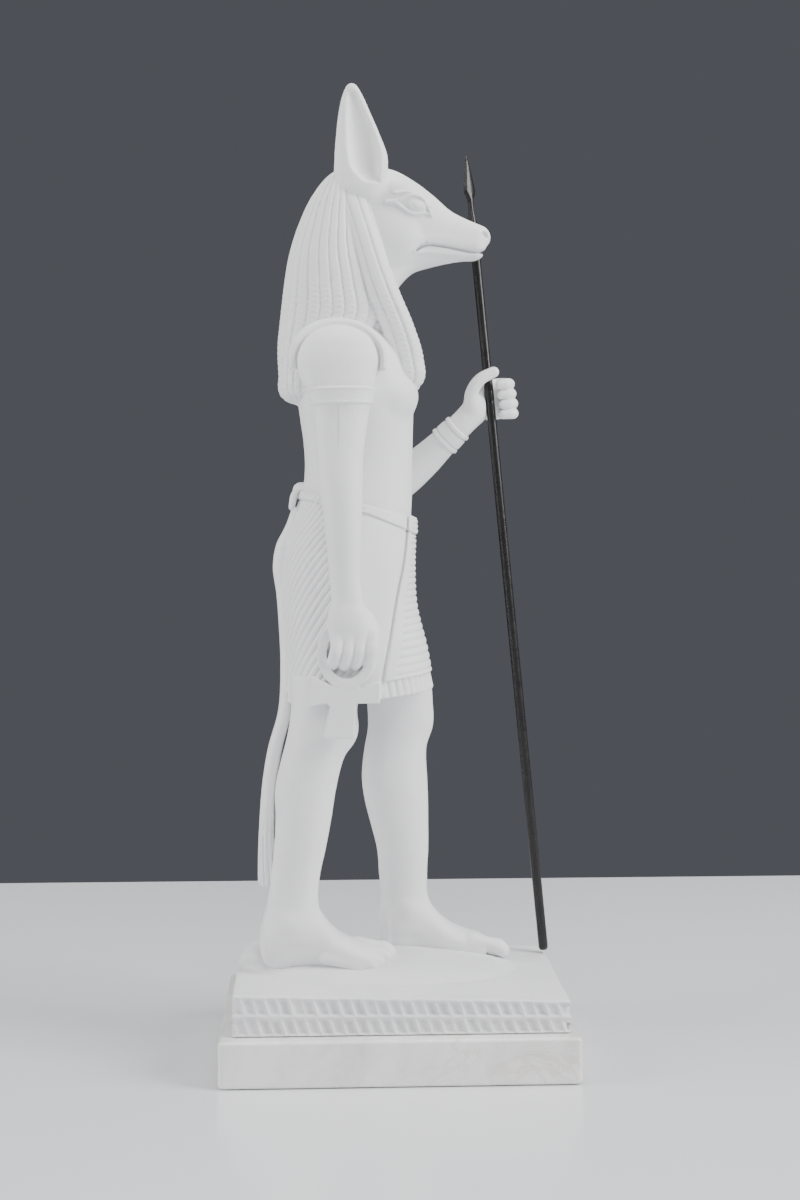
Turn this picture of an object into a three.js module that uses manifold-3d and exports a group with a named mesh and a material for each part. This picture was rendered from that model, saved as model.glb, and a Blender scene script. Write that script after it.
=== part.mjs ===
// Standing jackal-headed figure on a rough base and a stone plinth, with a loose spear in its left fist.
// Millimetres. The origin is the centre of the plinth's underside, +X is where the figure faces, +Y its left, +Z up.
import * as THREE from "three";
import { mergeVertices } from "three/addons/utils/BufferGeometryUtils.js";
import Module from "manifold-3d";

const wasm = await Module();
wasm.setup();

// Driving sizes
const TOTAL_HEIGHT = 425;
const MIDDLE = 9; // the figure's own middle plane, a little towards the back of the base
const GAP = 0.3; // clearance between pieces
const PLINTH = { length: 152, width: 113, height: 20, corner: 3, edge: 2 };
const BASE = {
  back: -70.5,
  front: 72,
  right: -50,
  left: 48,
  backHeight: 37.8,
  frontHeight: 33.8,
  gouges: 42,
  gougeDepth: 1.3,
};
const SPEAR = {
  foot: [72.2 - 1.2, 34, 35.2],
  tip: [34.1, 34, 402.6],
  radius: 2.2,
  headLength: 24,
  headWidth: 7,
  headThickness: 2.4,
};
const HALF_TURN = Math.PI;
const FULL_TURN = 2 * Math.PI;

// Joins, cuts and closed solids

function solid(shape) {
  const bare = new THREE.BufferGeometry();
  bare.setAttribute("position", shape.getAttribute("position"));
  if (shape.getIndex()) bare.setIndex(shape.getIndex());
  const merged = mergeVertices(bare, 1e-3);
  const index = merged.getIndex().array;
  const kept = [];
  for (let i = 0; i < index.length; i += 3) {
    const [a, b, c] = [index[i], index[i + 1], index[i + 2]];
    if (a !== b && b !== c && c !== a) kept.push(a, b, c);
  }
  const vertProperties = new Float32Array(merged.getAttribute("position").array);
  const build = (triVerts) =>
    new wasm.Manifold(new wasm.Mesh({ numProp: 3, vertProperties, triVerts: new Uint32Array(triVerts) }));
  const made = build(kept);
  return made.volume() > 0 ? made : build(kept.reverse());
}

function join(solids) {
  return solids.reduce((all, next) => all.add(next));
}

// Where joined surfaces nearly meet they leave very short edges. Each is drawn together to one point, unless that would
// pinch the surface or fold a face over.
function withoutShortEdges(made, shortest) {
  const { vertProperties, triVerts, numProp } = made.getMesh();
  const point = (v) => new THREE.Vector3(...vertProperties.subarray(v * numProp, v * numProp + 3));
  const faces = [];
  const facesAt = new Map();
  for (let i = 0; i < triVerts.length; i += 3) {
    const face = [...triVerts.subarray(i, i + 3)];
    faces.push(face);
    face.forEach((v) => facesAt.set(v, (facesAt.get(v) ?? new Set()).add(face)));
  }
  const neighbours = (v) => new Set([...facesAt.get(v)].flat().filter((other) => other !== v));
  const normal = (face) => {
    const [a, b, c] = face.map(point);
    return b.sub(a).cross(c.sub(a));
  };
  const folds = (face, from, to) => {
    const moved = face.map((v) => (v === from ? to : v));
    const [before, after] = [normal(face), normal(moved)];
    return before.length() > 1e-3 && before.dot(after) < 0.3 * before.length() * after.length();
  };
  for (const face of faces) {
    for (let side = 0; side < 3 && face.length; side++) {
      const [kept, gone] = [face[side], face[(side + 1) % 3]];
      if (point(kept).distanceTo(point(gone)) > shortest) continue;
      const shared = [...neighbours(kept)].filter((v) => neighbours(gone).has(v));
      const moving = [...facesAt.get(gone)].filter((other) => !other.includes(kept));
      if (shared.length !== 2 || moving.some((other) => folds(other, gone, kept))) continue;
      for (const other of facesAt.get(gone)) {
        if (other.includes(kept)) {
          other.forEach((v) => facesAt.get(v).delete(other));
          other.length = 0;
        } else {
          other[other.indexOf(gone)] = kept;
          facesAt.get(kept).add(other);
        }
      }
      facesAt.set(gone, new Set());
    }
  }
  const shape = new THREE.BufferGeometry();
  const corners = faces.flat().flatMap((v) => point(v).toArray());
  shape.setAttribute("position", new THREE.BufferAttribute(new Float32Array(corners), 3));
  return solid(shape);
}

function placed(shape, x, y, z, turnX = 0, turnY = 0, turnZ = 0) {
  const matrix = new THREE.Matrix4().makeRotationFromEuler(new THREE.Euler(turnX, turnY, turnZ, "ZYX"));
  matrix.setPosition(x, y, z);
  return shape.applyMatrix4(matrix);
}

function ball(x, y, z, halfX, halfY, halfZ, turnY = 0, around = 7, up = 5) {
  const shape = new THREE.SphereGeometry(1, around, up).rotateX(HALF_TURN / 2);
  return solid(placed(shape.scale(halfX, halfY, halfZ), x, y, z, 0, turnY));
}

// Rows between given rows, along a smooth curve through them. The first value of a row is where it lies.
function smooth(rows, count) {
  const size = rows[0].length - 1;
  const places = rows.map((row) => row[0]);
  const values = rows.flatMap((row) => row.slice(1));
  const curve = new THREE.CubicInterpolant(places, values, size, new Float32Array(size));
  const first = places[0];
  const last = places[places.length - 1];
  return Array.from({ length: count }, (_, i) => {
    const place = first + ((last - first) * i) / (count - 1);
    return [place, ...curve.evaluate(place)];
  });
}

// A closed loft: each ring of a unit cylinder is laid on one row, by a function of the row, the angle, the reach (0 at
// the middle of an end, 1 on the ring) and the number of the column.
function loft(rows, sides, pointAt) {
  const last = rows.length - 1;
  const shape = new THREE.CylinderGeometry(1, 1, last, sides, last);
  const position = shape.getAttribute("position");
  for (let i = 0; i < position.count; i++) {
    const [x, y, z] = [position.getX(i), position.getY(i), position.getZ(i)];
    const ring = Math.round(y + last / 2);
    const reach = Math.hypot(x, z) < 0.5 ? 0 : 1;
    const turned = Math.round((Math.atan2(x, z) / FULL_TURN) * sides);
    const column = 2 * turned === -sides ? -turned : turned;
    position.setXYZ(i, ...pointAt(rows[ring], (column / sides) * FULL_TURN, reach, column));
  }
  return solid(shape);
}

// A point on a rounded rectangle: squareness 2 is an ellipse, larger is squarer.
function around(angle, halfX, halfY, squareness = 2) {
  const bend = (value) => Math.sign(value) * Math.abs(value) ** (2 / squareness);
  return [halfX * bend(Math.cos(angle)), halfY * bend(Math.sin(angle))];
}

// An upright body. Rows hold: height, back, front, middle across, half width, squareness.
function upright(rows, sides, count) {
  return loft(smooth(rows, count), sides, ([z, back, front, y, half, squareness], angle, reach) => {
    const [u, v] = around(angle, (front - back) / 2, half, squareness);
    return [(front + back) / 2 + reach * u, y + reach * v, z];
  });
}

// A lying body. Rows hold: place along X, bottom, top, middle across, half width, squareness.
function lying(rows, sides, count) {
  return loft(smooth(rows, count), sides, ([x, bottom, top, y, half, squareness], angle, reach) => {
    const [u, v] = around(angle, (top - bottom) / 2, half, squareness);
    return [x, y + reach * v, (top + bottom) / 2 + reach * u];
  });
}

// A limb along a curve, with rounded ends. Rows hold: x, y, z, half thickness in the curve's plane, half thickness across.
function limb(rows, sides, count, roundness = 0.55) {
  const curve = new THREE.CatmullRomCurve3(rows.map(([x, y, z]) => new THREE.Vector3(x, y, z)));
  const sizes = smooth(rows.map((row, i) => [i / (rows.length - 1), row[3], row[4]]), count);
  const rings = sizes.map(([share, thick, wide]) => {
    return { centre: curve.getPoint(share), along: curve.getTangent(share), thick, wide };
  });
  for (const end of [rings[0], rings[rings.length - 1]]) {
    const outwards = end === rings[0] ? -1 : 1;
    const cap = { ...end, thick: end.thick * roundness, wide: end.wide * roundness };
    cap.centre = end.centre.clone().addScaledVector(end.along, outwards * end.thick * 0.6);
    if (outwards < 0) rings.unshift(cap);
    else rings.push(cap);
  }
  return loft(rings, sides, ({ centre, along, thick, wide }, angle, reach) => {
    const across = new THREE.Vector3(0, 1, 0).addScaledVector(along, -along.y).normalize();
    const inPlane = new THREE.Vector3().crossVectors(across, along);
    const [u, v] = around(angle, thick, wide);
    const point = centre.clone().addScaledVector(inPlane, reach * u).addScaledVector(across, reach * v);
    return point.toArray();
  });
}

// Plinth and rough base

function plinthSolid() {
  const { length, width, height, corner, edge } = PLINTH;
  const [x, y] = [length / 2 - edge, width / 2 - edge];
  const outline = new THREE.Shape();
  outline.moveTo(x - corner, -y);
  outline.absarc(x - corner, -y + corner, corner, -HALF_TURN / 2, 0);
  outline.absarc(x - corner, y - corner, corner, 0, HALF_TURN / 2);
  outline.absarc(-x + corner, y - corner, corner, HALF_TURN / 2, HALF_TURN);
  outline.absarc(-x + corner, -y + corner, corner, HALF_TURN, 1.5 * HALF_TURN);
  const shape = new THREE.ExtrudeGeometry(outline, {
    depth: height - 2 * edge,
    bevelThickness: edge,
    bevelSize: edge,
    bevelSegments: 2,
    curveSegments: 3,
  });
  return solid(shape.translate(0, 0, edge));
}

function baseTop(x) {
  const share = (x - BASE.back) / (BASE.front - BASE.back);
  return BASE.backHeight + share * (BASE.frontHeight - BASE.backHeight);
}

// The outline of the base, walked round from its front right corner as a share from 0 to 1.
function baseOutline(share) {
  const [length, width] = [BASE.front - BASE.back, BASE.left - BASE.right];
  let walked = (((share % 1) + 1) % 1) * 2 * (length + width);
  if (walked < width) return [BASE.front, BASE.right + walked, 1, 0];
  walked -= width;
  if (walked < length) return [BASE.front - walked, BASE.left, 0, 1];
  walked -= length;
  if (walked < width) return [BASE.back, BASE.left - walked, -1, 0];
  walked -= width;
  return [BASE.back + walked, BASE.right, 0, -1];
}

// Two rows of slanted chisel gouges round the sides. Rows hold: share of the height, slant in gouges, depth share.
function baseSolid() {
  const rows = [
    [0, 0.5, 0.9],
    [0.48, -0.4, 0.3],
    [0.54, 0.5, 1],
    [1, -0.35, 0.5],
  ];
  const middle = [(BASE.front + BASE.back) / 2, (BASE.left + BASE.right) / 2];
  const block = loft(rows, 2 * BASE.gouges, ([rise, slant, depth], angle, reach, column) => {
    const [bottom, top] = [PLINTH.height + GAP, baseTop(middle[0])];
    if (!reach) return [...middle, rise < 0.5 ? bottom : top + 0.6];
    const [x, y, outX, outY] = baseOutline((column + slant) / (2 * BASE.gouges));
    const inwards = (column % 2 ? depth : 0) * BASE.gougeDepth + (rise === 1 ? 0.8 : 0);
    const height = bottom + rise * (baseTop(x) - bottom);
    return [x - outX * inwards, y - outY * inwards, height];
  });
  const mound = ball(-8, MIDDLE, 35.6, 61, 36, 7, 0.035, 10, 5);
  const ledge = ball(-62, 14, 39, 7, 12, 6, 0, 7, 4);
  return join([block, mound, ledge]);
}

// Legs and feet

const RIGHT_LEG = [
  [58, -58, -32, -7, 9.5, 2.2],
  [68, -56.5, -34.2, -7, 9.3, 2.1],
  [78, -55, -33.6, -7, 9.5, 2.1],
  [92, -53.4, -30.7, -7, 11, 2.1],
  [105, -52.8, -28.3, -7, 12.2, 2.1],
  [118, -52.9, -26.2, -7, 12.8, 2.1],
  [130, -50.4, -23.2, -7, 12.4, 2.1],
  [141, -47.6, -18.3, -7, 12.2, 2.2],
  [152, -46, -17.1, -7, 12.8, 2.2],
  [168, -46, -14, -7, 14.5, 2.2],
];
const LEFT_LEG = [
  [54, -6, 19, 25, 9.5, 2.2],
  [63, -5.5, 16.2, 25, 9.3, 2.1],
  [74, -6.3, 15.8, 25, 9.6, 2.1],
  [85, -7.2, 16.3, 25, 10.6, 2.1],
  [96, -9.9, 16.3, 25, 11.8, 2.1],
  [107, -12.7, 16.2, 25, 12.6, 2.1],
  [118, -14.1, 15.8, 25, 12.8, 2.1],
  [130, -13.1, 15.3, 25, 12.4, 2.1],
  [141, -11.3, 17.1, 25, 12.2, 2.2],
  [150, -11.5, 18.2, 25, 12.8, 2.2],
  [168, -14, 17, 25, 14.5, 2.2],
];
const RIGHT_FOOT = [
  [-60.6, 45, 53, -7, 3.5, 2],
  [-59, 42.5, 58, -7, 7.5, 2.1],
  [-54, 41, 66, -7, 9.6, 2.2],
  [-44, 41, 68, -7, 9.8, 2.3],
  [-34, 40.5, 63, -7, 10, 2.3],
  [-26, 39.5, 55, -7.5, 10.8, 2.4],
  [-17, 39, 50.3, -8, 11.6, 2.4],
  [-10, 39, 47.5, -7.5, 11, 2.4],
];
const LEFT_FOOT = [
  [-6.3, 43, 51, 25, 3.5, 2],
  [-4.8, 40.5, 57, 25, 7.5, 2.1],
  [0, 39.5, 63, 25, 9.6, 2.2],
  [10, 39, 65, 25, 9.8, 2.3],
  [18, 38, 58, 25, 10, 2.3],
  [26, 37, 50.8, 25.5, 10.8, 2.4],
  [35, 36, 46.6, 26, 11.6, 2.4],
  [42, 36, 44.8, 25.5, 11, 2.4],
];

// Five toes. Each is: tip along X, across, height of its middle, thickness.
function toes(tips, heel) {
  return tips.map(([tip, y, z, thick]) => {
    const root = tip - 15;
    const rows = [
      [root, heel + (y - heel) * 0.86, z + 3.2, thick, thick],
      [tip - thick * 0.8, y, z, thick, thick],
    ];
    return limb(rows, 5, 2);
  });
}

function legsSolid() {
  const rightToes = [
    [0.4, 0.8, 43, 3.6],
    [-1.8, -4.6, 42.4, 2.7],
    [-5, -9.4, 41.8, 2.6],
    [-9, -13.6, 41.2, 2.5],
    [-14, -17.2, 40.8, 2.4],
  ];
  const leftToes = [
    [53, 17.2, 39.6, 3.6],
    [51, 22.6, 39.6, 2.7],
    [48, 27.4, 39.4, 2.6],
    [44, 31.6, 39.2, 2.5],
    [39, 35.2, 39, 2.4],
  ];
  return join([
    upright(RIGHT_LEG, 10, 7),
    upright(LEFT_LEG, 10, 7),
    lying(RIGHT_FOOT, 9, 7),
    lying(LEFT_FOOT, 9, 7),
    ...toes(rightToes, -8),
    ...toes(leftToes, 26),
    ball(-46, -14.6, 59, 4, 2.6, 4),
    ball(7, 17, 57, 4, 2.6, 4),
  ]);
}

// Kilt, belt, apron and tail

const KILT = { backHem: 154.5, frontHem: 160.5, backBelt: 249, frontBelt: 235.5, back: -47, front: 12 };
const KILT_ROWS = [
  [0, -47.6, 17.6, MIDDLE, 35, 2.5],
  [0.25, -49, 13.6, MIDDLE, 34.2, 2.5],
  [0.5, -50.2, 9.3, MIDDLE, 33.2, 2.4],
  [0.75, -48, 9, MIDDLE, 31.2, 2.4],
  [0.9, -44, 9, MIDDLE, 28.6, 2.3],
  [1, -41.5, 8, MIDDLE, 27, 2.3],
];
const PLEATS = { columns: 44, lean: 0.85, depth: 0.9, reach: 0.62 };

// The hem rises towards the front and the belt falls, so a ring's height depends on where it is.
function kiltHeight(share, x) {
  const forward = (x - KILT.back) / (KILT.front - KILT.back);
  const hem = KILT.backHem + forward * (KILT.frontHem - KILT.backHem);
  const belt = KILT.backBelt + forward * (KILT.frontBelt - KILT.backBelt);
  return hem + share * (belt - hem);
}

function kiltPoint([share, back, front, y, half, squareness], angle, reach, swell) {
  const [u, v] = around(angle, (front - back) / 2 + swell, half + swell, squareness);
  const x = (front + back) / 2 + reach * u;
  return [x, y + reach * v, kiltHeight(share, x)];
}

// The wrapped cloth: its rear half lies in pleats that climb towards the front, and the rest is plain.
function kiltSolid() {
  return loft(smooth(KILT_ROWS, 5), PLEATS.columns, (row, angle, reach, column) => {
    const fromBack = HALF_TURN - Math.abs(angle);
    const side = Math.sign(angle) || 1;
    const falloff = (1 - fromBack / HALF_TURN) * Math.min(1, fromBack / 0.6);
    const turned = fromBack + PLEATS.lean * (row[0] - 0.5) * falloff;
    const pleated = turned < HALF_TURN * PLEATS.reach && column % 2;
    return kiltPoint(row, side * (HALF_TURN - turned), reach, pleated ? PLEATS.depth : 0);
  });
}

// The stiff front apron, wider at the hem, with ribs lying across it and a plain edge strip down each side.
function apronSolid() {
  const ribs = 8;
  const rows = Array.from({ length: 2 * ribs + 1 }, (_, i) => [i / (2 * ribs), i % 2]);
  const section = (depth, inset) => ([share, ridge], angle, reach) => {
    const half = 24 - 17 * share - inset;
    const front = 18.4 - 15.5 * share + 7.4 * share * share + depth * ridge;
    const back = -6 + 4 * share;
    const [u, v] = around(angle, (front - back) / 2, half, 3.2);
    const x = (front + back) / 2 + reach * u;
    return [x, MIDDLE + reach * v, 162.5 + 72 * share + (x - back) * 0.05];
  };
  const strip = loft([[0, 0], [0.5, 0], [1, 0]], 8, section(0, -1.6));
  return join([strip, loft(rows, 8, section(0.8, 0.6))]);
}

// The pleated layer that shows under the apron.
function underLayerSolid() {
  const columns = 34;
  return loft([[153.2], [163]], columns, ([z], angle, reach, column) => {
    const swell = column % 2 ? 0.6 : -0.2;
    const [u, v] = around(angle, 11.5 + swell, 25 + swell, 3);
    const x = 7.6 + reach * u;
    return [x, MIDDLE + reach * v, z + 0.06 * (x - 7)];
  });
}

function beltSolid() {
  const row = (share) => [share, -41.8 - (1 - share) * 3, 8.6, MIDDLE, 27.4, 2.3];
  const rows = [0.95, 0.96, 1, 1.01].map(row);
  const band = loft(rows, 12, (r, angle, reach) => {
    const edge = r[0] === 0.95 || r[0] > 1 ? -0.8 : 0.7;
    return kiltPoint(r, angle, reach, edge);
  });
  const knot = [
    ball(-43.5, MIDDLE, 250.5, 4.2, 6, 3.6),
    limb([[-43, MIDDLE - 4, 249, 2, 2.6], [-46, MIDDLE - 9, 244, 1.8, 2.6], [-47.5, MIDDLE - 12, 240, 1.4, 2]], 5, 2),
    limb([[-43, MIDDLE + 4, 249, 2, 2.6], [-46, MIDDLE + 9, 244, 1.8, 2.6], [-47.5, MIDDLE + 12, 240, 1.4, 2]], 5, 2),
  ];
  return join([band, ...knot]);
}

const TAIL_ROWS = [
  [75, -60.8, -51, -3, 6.6, 2.4],
  [88, -60.7, -52.6, -2.6, 6, 2.4],
  [104, -60, -53, -1.6, 5, 2.3],
  [120, -58.7, -52.2, 0, 4.6, 2.2],
  [135, -56.4, -49.8, 2, 4.6, 2.2],
  [150, -53, -45, 4, 4.8, 2.2],
  [170, -51.3, -43, 6, 5, 2.2],
  [195, -52.6, -44, 8, 5.2, 2.2],
  [215, -54.3, -45, MIDDLE, 5.4, 2.2],
  [228, -51, -44, MIDDLE, 5, 2.2],
  [238, -46.5, -42, MIDDLE, 4, 2.2],
];

// A bull's tail hanging from the belt, with a fluted tuft that rests on the right calf.
function tailSolid() {
  return loft(smooth(TAIL_ROWS, 10), 10, ([z, back, front, y, half, squareness], angle, reach, column) => {
    const flute = z < 110 && column % 2 ? -0.7 : 0;
    const [u, v] = around(angle, (front - back) / 2 + flute, half + flute, squareness);
    return [(front + back) / 2 + reach * u, y + reach * v, z];
  });
}

// Body and arms

const TORSO = [
  [232, -44, 7.6, MIDDLE, 26.5, 2.4],
  [246, -41.2, 7.8, MIDDLE, 25.2, 2.4],
  [258, -40, 7.9, MIDDLE, 24.6, 2.4],
  [270, -40.6, 8.2, MIDDLE, 26, 2.4],
  [280, -42, 9.2, MIDDLE, 28.6, 2.4],
  [290, -43.2, 9.6, MIDDLE, 31.5, 2.5],
  [302, -43.6, 7, MIDDLE, 33.5, 2.6],
  [312, -42, 1, MIDDLE, 31, 2.4],
  [320, -38, -8, MIDDLE, 24, 2.2],
];
const RIGHT_ARM = [
  [190, -30.4, -12, -26.5, 7, 2.3],
  [201, -28.2, -15.2, -26.8, 5.8, 2.2],
  [213, -29.4, -16.1, -27.5, 6.4, 2.1],
  [226, -30.4, -15.8, -28.3, 7.3, 2.1],
  [238, -31.6, -15.4, -29, 8.2, 2.1],
  [250, -33.7, -15.1, -29.4, 8.8, 2.1],
  [262, -34.4, -14.8, -29.2, 8.8, 2.1],
  [275, -35.4, -13.2, -28.8, 9, 2.1],
  [286, -37, -11.4, -28, 9.6, 2.1],
  [296, -41.8, -9.4, -26, 11.2, 2.1],
  [306, -43, -8, -23.4, 12.6, 2.1],
  [314, -38.6, -12.4, -21, 11.4, 2],
  [318.5, -31, -20, -18, 6, 2],
];
const LEFT_UPPER_ARM = [
  [-16, 41, 306, 13, 11],
  [-17, 44, 292, 12, 9.5],
  [-15, 46.4, 272, 10.5, 9],
  [-11, 47, 254, 9.5, 8.6],
  [-7, 46.5, 246, 8.6, 8],
];
const LEFT_FOREARM = [
  [-8, 46.5, 247, 8.6, 8],
  [2, 45.4, 252.5, 8.8, 8.2],
  [14, 43, 262, 7.9, 7.6],
  [25, 39, 272.5, 6.5, 6.6],
  [34, 36, 281.5, 5.9, 6.2],
  [38, 35.5, 285.5, 6.2, 5.4],
];

function torsoSolid() {
  return join([
    upright(TORSO, 14, 8),
    ball(-3, MIDDLE - 14, 287, 13, 14, 10, 0.15),
    ball(-3, MIDDLE + 14, 287, 13, 14, 10, 0.15),
  ]);
}

function armsSolid() {
  const leftShoulder = upright(mirrored(RIGHT_ARM.slice(8)), 10, 5);
  return join([
    upright(RIGHT_ARM, 10, 10),
    leftShoulder,
    limb(LEFT_UPPER_ARM, 9, 4),
    limb(LEFT_FOREARM, 9, 5),
  ]);
}

function mirrored(rows) {
  return rows.map(([place, low, high, y, ...rest]) => [place, low, high, 2 * MIDDLE - y, ...rest]);
}

// Broad collar edge over each shoulder, armbands and the left bracelet

function collarSolid() {
  const outline = (side) => {
    const rows = Array.from({ length: 7 }, (_, i) => {
      const angle = HALF_TURN * (-0.06 + 1.12 * (i / 6));
      return [-25.5 - 19.5 * Math.cos(angle), side, 303 + 16 * Math.sin(angle)];
    });
    return rows;
  };
  const pieces = [];
  for (const side of [-1, 1]) {
    const arc = outline(side).map(([x, , z]) => {
      const rise = Math.max(0, (z - 303) / 16);
      return [x, MIDDLE + side * (34 - 6 * rise * rise), z, 1.6, 5.2 - 1.4 * (1 - rise)];
    });
    pieces.push(limb(arc, 5, 8));
  }
  return join(pieces);
}

function bandsSolid() {
  const armband = (y) => {
    const rows = [[283.6, -0.4], [284, 0.9], [290.6, 0.9], [291, -0.4]];
    return loft(rows, 12, ([z, swell], angle, reach) => {
      const [u, v] = around(angle, 12.7 + swell, 9.2 + swell, 2.1);
      return [-24.2 + reach * u, y + reach * v, z + 0.02 * (reach * u)];
    });
  };
  const rim = [
    [0, -0.6],
    [0.02, 1.2],
    [0.16, 1.2],
    [0.3, 0.5],
    [0.7, 0.6],
    [0.84, 1.2],
    [0.98, 1.2],
    [1, -0.6],
  ];
  const along = new THREE.Vector3(7.4, -2.6, 7.3);
  const length = along.length();
  const turn = new THREE.Quaternion().setFromUnitVectors(new THREE.Vector3(0, 0, 1), along.clone().normalize());
  const bracelet = loft(rim, 10, ([share, swell], angle, reach) => {
    const [u, v] = around(angle, 6.6 - 0.5 * share + swell, 6.8 - 0.4 * share + swell);
    const point = new THREE.Vector3(reach * u, reach * v, share * length).applyQuaternion(turn);
    return point.add(new THREE.Vector3(24.3, 39.2, 271.8)).toArray();
  });
  return join([armband(-28.2), armband(2 * MIDDLE + 28.2), bracelet]);
}

// Right fist with the ankh

function rightHandSolid() {
  const knuckles = Array.from({ length: 4 }, (_, i) => {
    const x = -26.4 + i * 4.9;
    const z = 177.5 + Math.abs(i - 1.2) * 0.5;
    return limb(
      [
        [x + 0.6, -29.5, z + 6, 2.6, 2.8],
        [x, -31, z, 2.7, 2.9],
        [x - 0.6, -27.5, z - 4.2, 2.6, 2.7],
        [x - 0.6, -22, z - 3.4, 2.5, 2.6],
        [x, -19.5, z + 1, 2.3, 2.3],
      ],
      5,
      3,
    );
  });
  const palm = upright(
    [
      [177, -28.5, -10, -25.5, 6, 2.6],
      [184, -29.6, -9.4, -26.2, 6.6, 2.5],
      [191, -30, -11.4, -26.6, 6.6, 2.4],
      [198, -28.6, -14.6, -26.8, 6, 2.2],
    ],
    10,
    4,
  );
  const thumb = limb([[-12, -23, 190, 3, 3], [-9.4, -20, 183, 2.9, 3], [-13, -18.5, 176, 2.6, 2.7]], 5, 3);
  const core = ball(-20.5, -24, 177.6, 9.8, 4.6, 5.6);
  return join([...knuckles, palm, core, thumb]);
}

const ANKH = { x: -23.4, y: -27, crossbar: 162, thickness: 4.6 };

// Flat ankh: a loop held in the fist, flared arms and a flared stem.
function ankhSolid() {
  const slab = (outline) => {
    const shape = new THREE.ExtrudeGeometry(outline, { depth: ANKH.thickness, bevelEnabled: false, curveSegments: 6 });
    return solid(shape.rotateX(HALF_TURN / 2).translate(ANKH.x, ANKH.y + ANKH.thickness / 2, ANKH.crossbar));
  };
  const cross = new THREE.Shape();
  const corners = [
    [-14, 7.6], [-4.5, 2.8], [-2, 6], [4, 6], [5.5, 2.8], [15.6, 5.4], [15.6, -4.6], [5, -4.2],
    [5, -6.6], [4.6, -20], [-8.8, -20.2], [-5.6, -6.6], [-12.6, -7], [-14.6, -6],
  ];
  corners.forEach(([x, z], i) => (i ? cross.lineTo(x, z) : cross.moveTo(x, z)));
  const ring = new THREE.Shape();
  ring.absellipse(0.6, 17, 12.8, 15.4, 0, 2 * HALF_TURN);
  const hole = new THREE.Path();
  hole.absellipse(0.6, 17.4, 8.8, 11.4, 0, 2 * HALF_TURN);
  ring.holes.push(hole);
  return join([slab(cross), slab(ring)]);
}

// Left fist round the spear

function leftHandSolid() {
  const fingers = Array.from({ length: 4 }, (_, i) => {
    const z = 299 - i * 4.5;
    const x = 45.2 + i * 0.8;
    const reach = i === 3 ? -0.6 : 0;
    return limb(
      [
        [x - 2, 41, z - 1, 2.6, 2.6],
        [x + 5 + reach, 41.5, z, 2.6, 2.6],
        [x + 9.2 + reach, 37, z - 0.4, 2.6, 2.6],
        [x + 7.4 + reach, 32, z - 1, 2.4, 2.4],
        [x + 4.4 + reach, 31.6, z - 1.4, 2.1, 2.2],
      ],
      5,
      3,
    );
  });
  const palm = ball(43, 39.5, 292, 8.4, 4.6, 9.5, 0.2);
  const heel = ball(38.5, 35, 287.5, 5.2, 5.4, 6.4, 0.5);
  const thumb = limb(
    [
      [36.5, 32.5, 287, 3.4, 3.2],
      [36.6, 30.6, 294, 3, 3],
      [40.4, 29.6, 300, 2.8, 2.8],
      [46.6, 30.4, 303.4, 2.5, 2.6],
    ],
    5,
    5,
  );
  return join([...fingers, palm, heel, thumb]);
}

// Wig, head and ears

const WIG_ROWS = [
  [286.3, -46.5, -30, MIDDLE, 15, 2.4],
  [290, -50.2, -24, MIDDLE, 19, 2.6],
  [300, -52, -20, MIDDLE, 21.5, 2.8],
  [312, -52.3, -8, MIDDLE, 23, 2.8],
  [324, -51.2, 0, MIDDLE, 23.6, 2.7],
  [338, -49.4, -1, MIDDLE, 23.4, 2.6],
  [352, -47, -4, MIDDLE, 22.6, 2.5],
  [366, -42.6, -8, MIDDLE, 20.6, 2.3],
  [378, -36.6, -10, MIDDLE, 17.6, 2.2],
  [386, -30.4, -12, MIDDLE, 13, 2.1],
  [391, -22, -14, MIDDLE, 6, 2],
];
const WIG = { strands: 18, groove: 1.1 };
const LAPPET_ROWS = [
  [291.6, 1.6, 9.2, 13, 4, 2.4],
  [296, -1, 11, 13.2, 7.2, 2.6],
  [306, -3.6, 11, 13.6, 8.2, 2.8],
  [320, -8, 7.4, 14.2, 9, 2.8],
  [334, -14, 2, 14.8, 9.4, 2.6],
  [348, -18, -3.6, 14.6, 8.8, 2.5],
  [362, -22, -8, 13.4, 8, 2.4],
  [376, -26, -11.4, 10.6, 7, 2.3],
  [386, -26, -14, 6, 5.6, 2.2],
];
const HEAD_ROWS = [
  [-24, 348, 388, MIDDLE, 14, 2.2],
  [-16, 344, 391, MIDDLE, 15, 2.2],
  [-8, 341, 391.4, MIDDLE, 15.4, 2.2],
  [1, 341.5, 389.4, MIDDLE, 15, 2.2],
  [9, 345.6, 385, MIDDLE, 13.4, 2.2],
  [17, 347.8, 379.2, MIDDLE, 11, 2.2],
  [25, 349.6, 372.4, MIDDLE, 8.8, 2.2],
  [32, 350.7, 368.8, MIDDLE, 7.4, 2.3],
  [38, 352, 366.4, MIDDLE, 6.2, 2.3],
  [41.4, 356, 365, MIDDLE, 4, 2.2],
];

// Hair in long strands: every second column of points lies deeper.
function strands(column, z, fadeFrom) {
  const fade = Math.min(1, Math.max(0, (fadeFrom - z) / 8));
  return (column % 2 ? -WIG.groove : 0) * fade;
}

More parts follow.
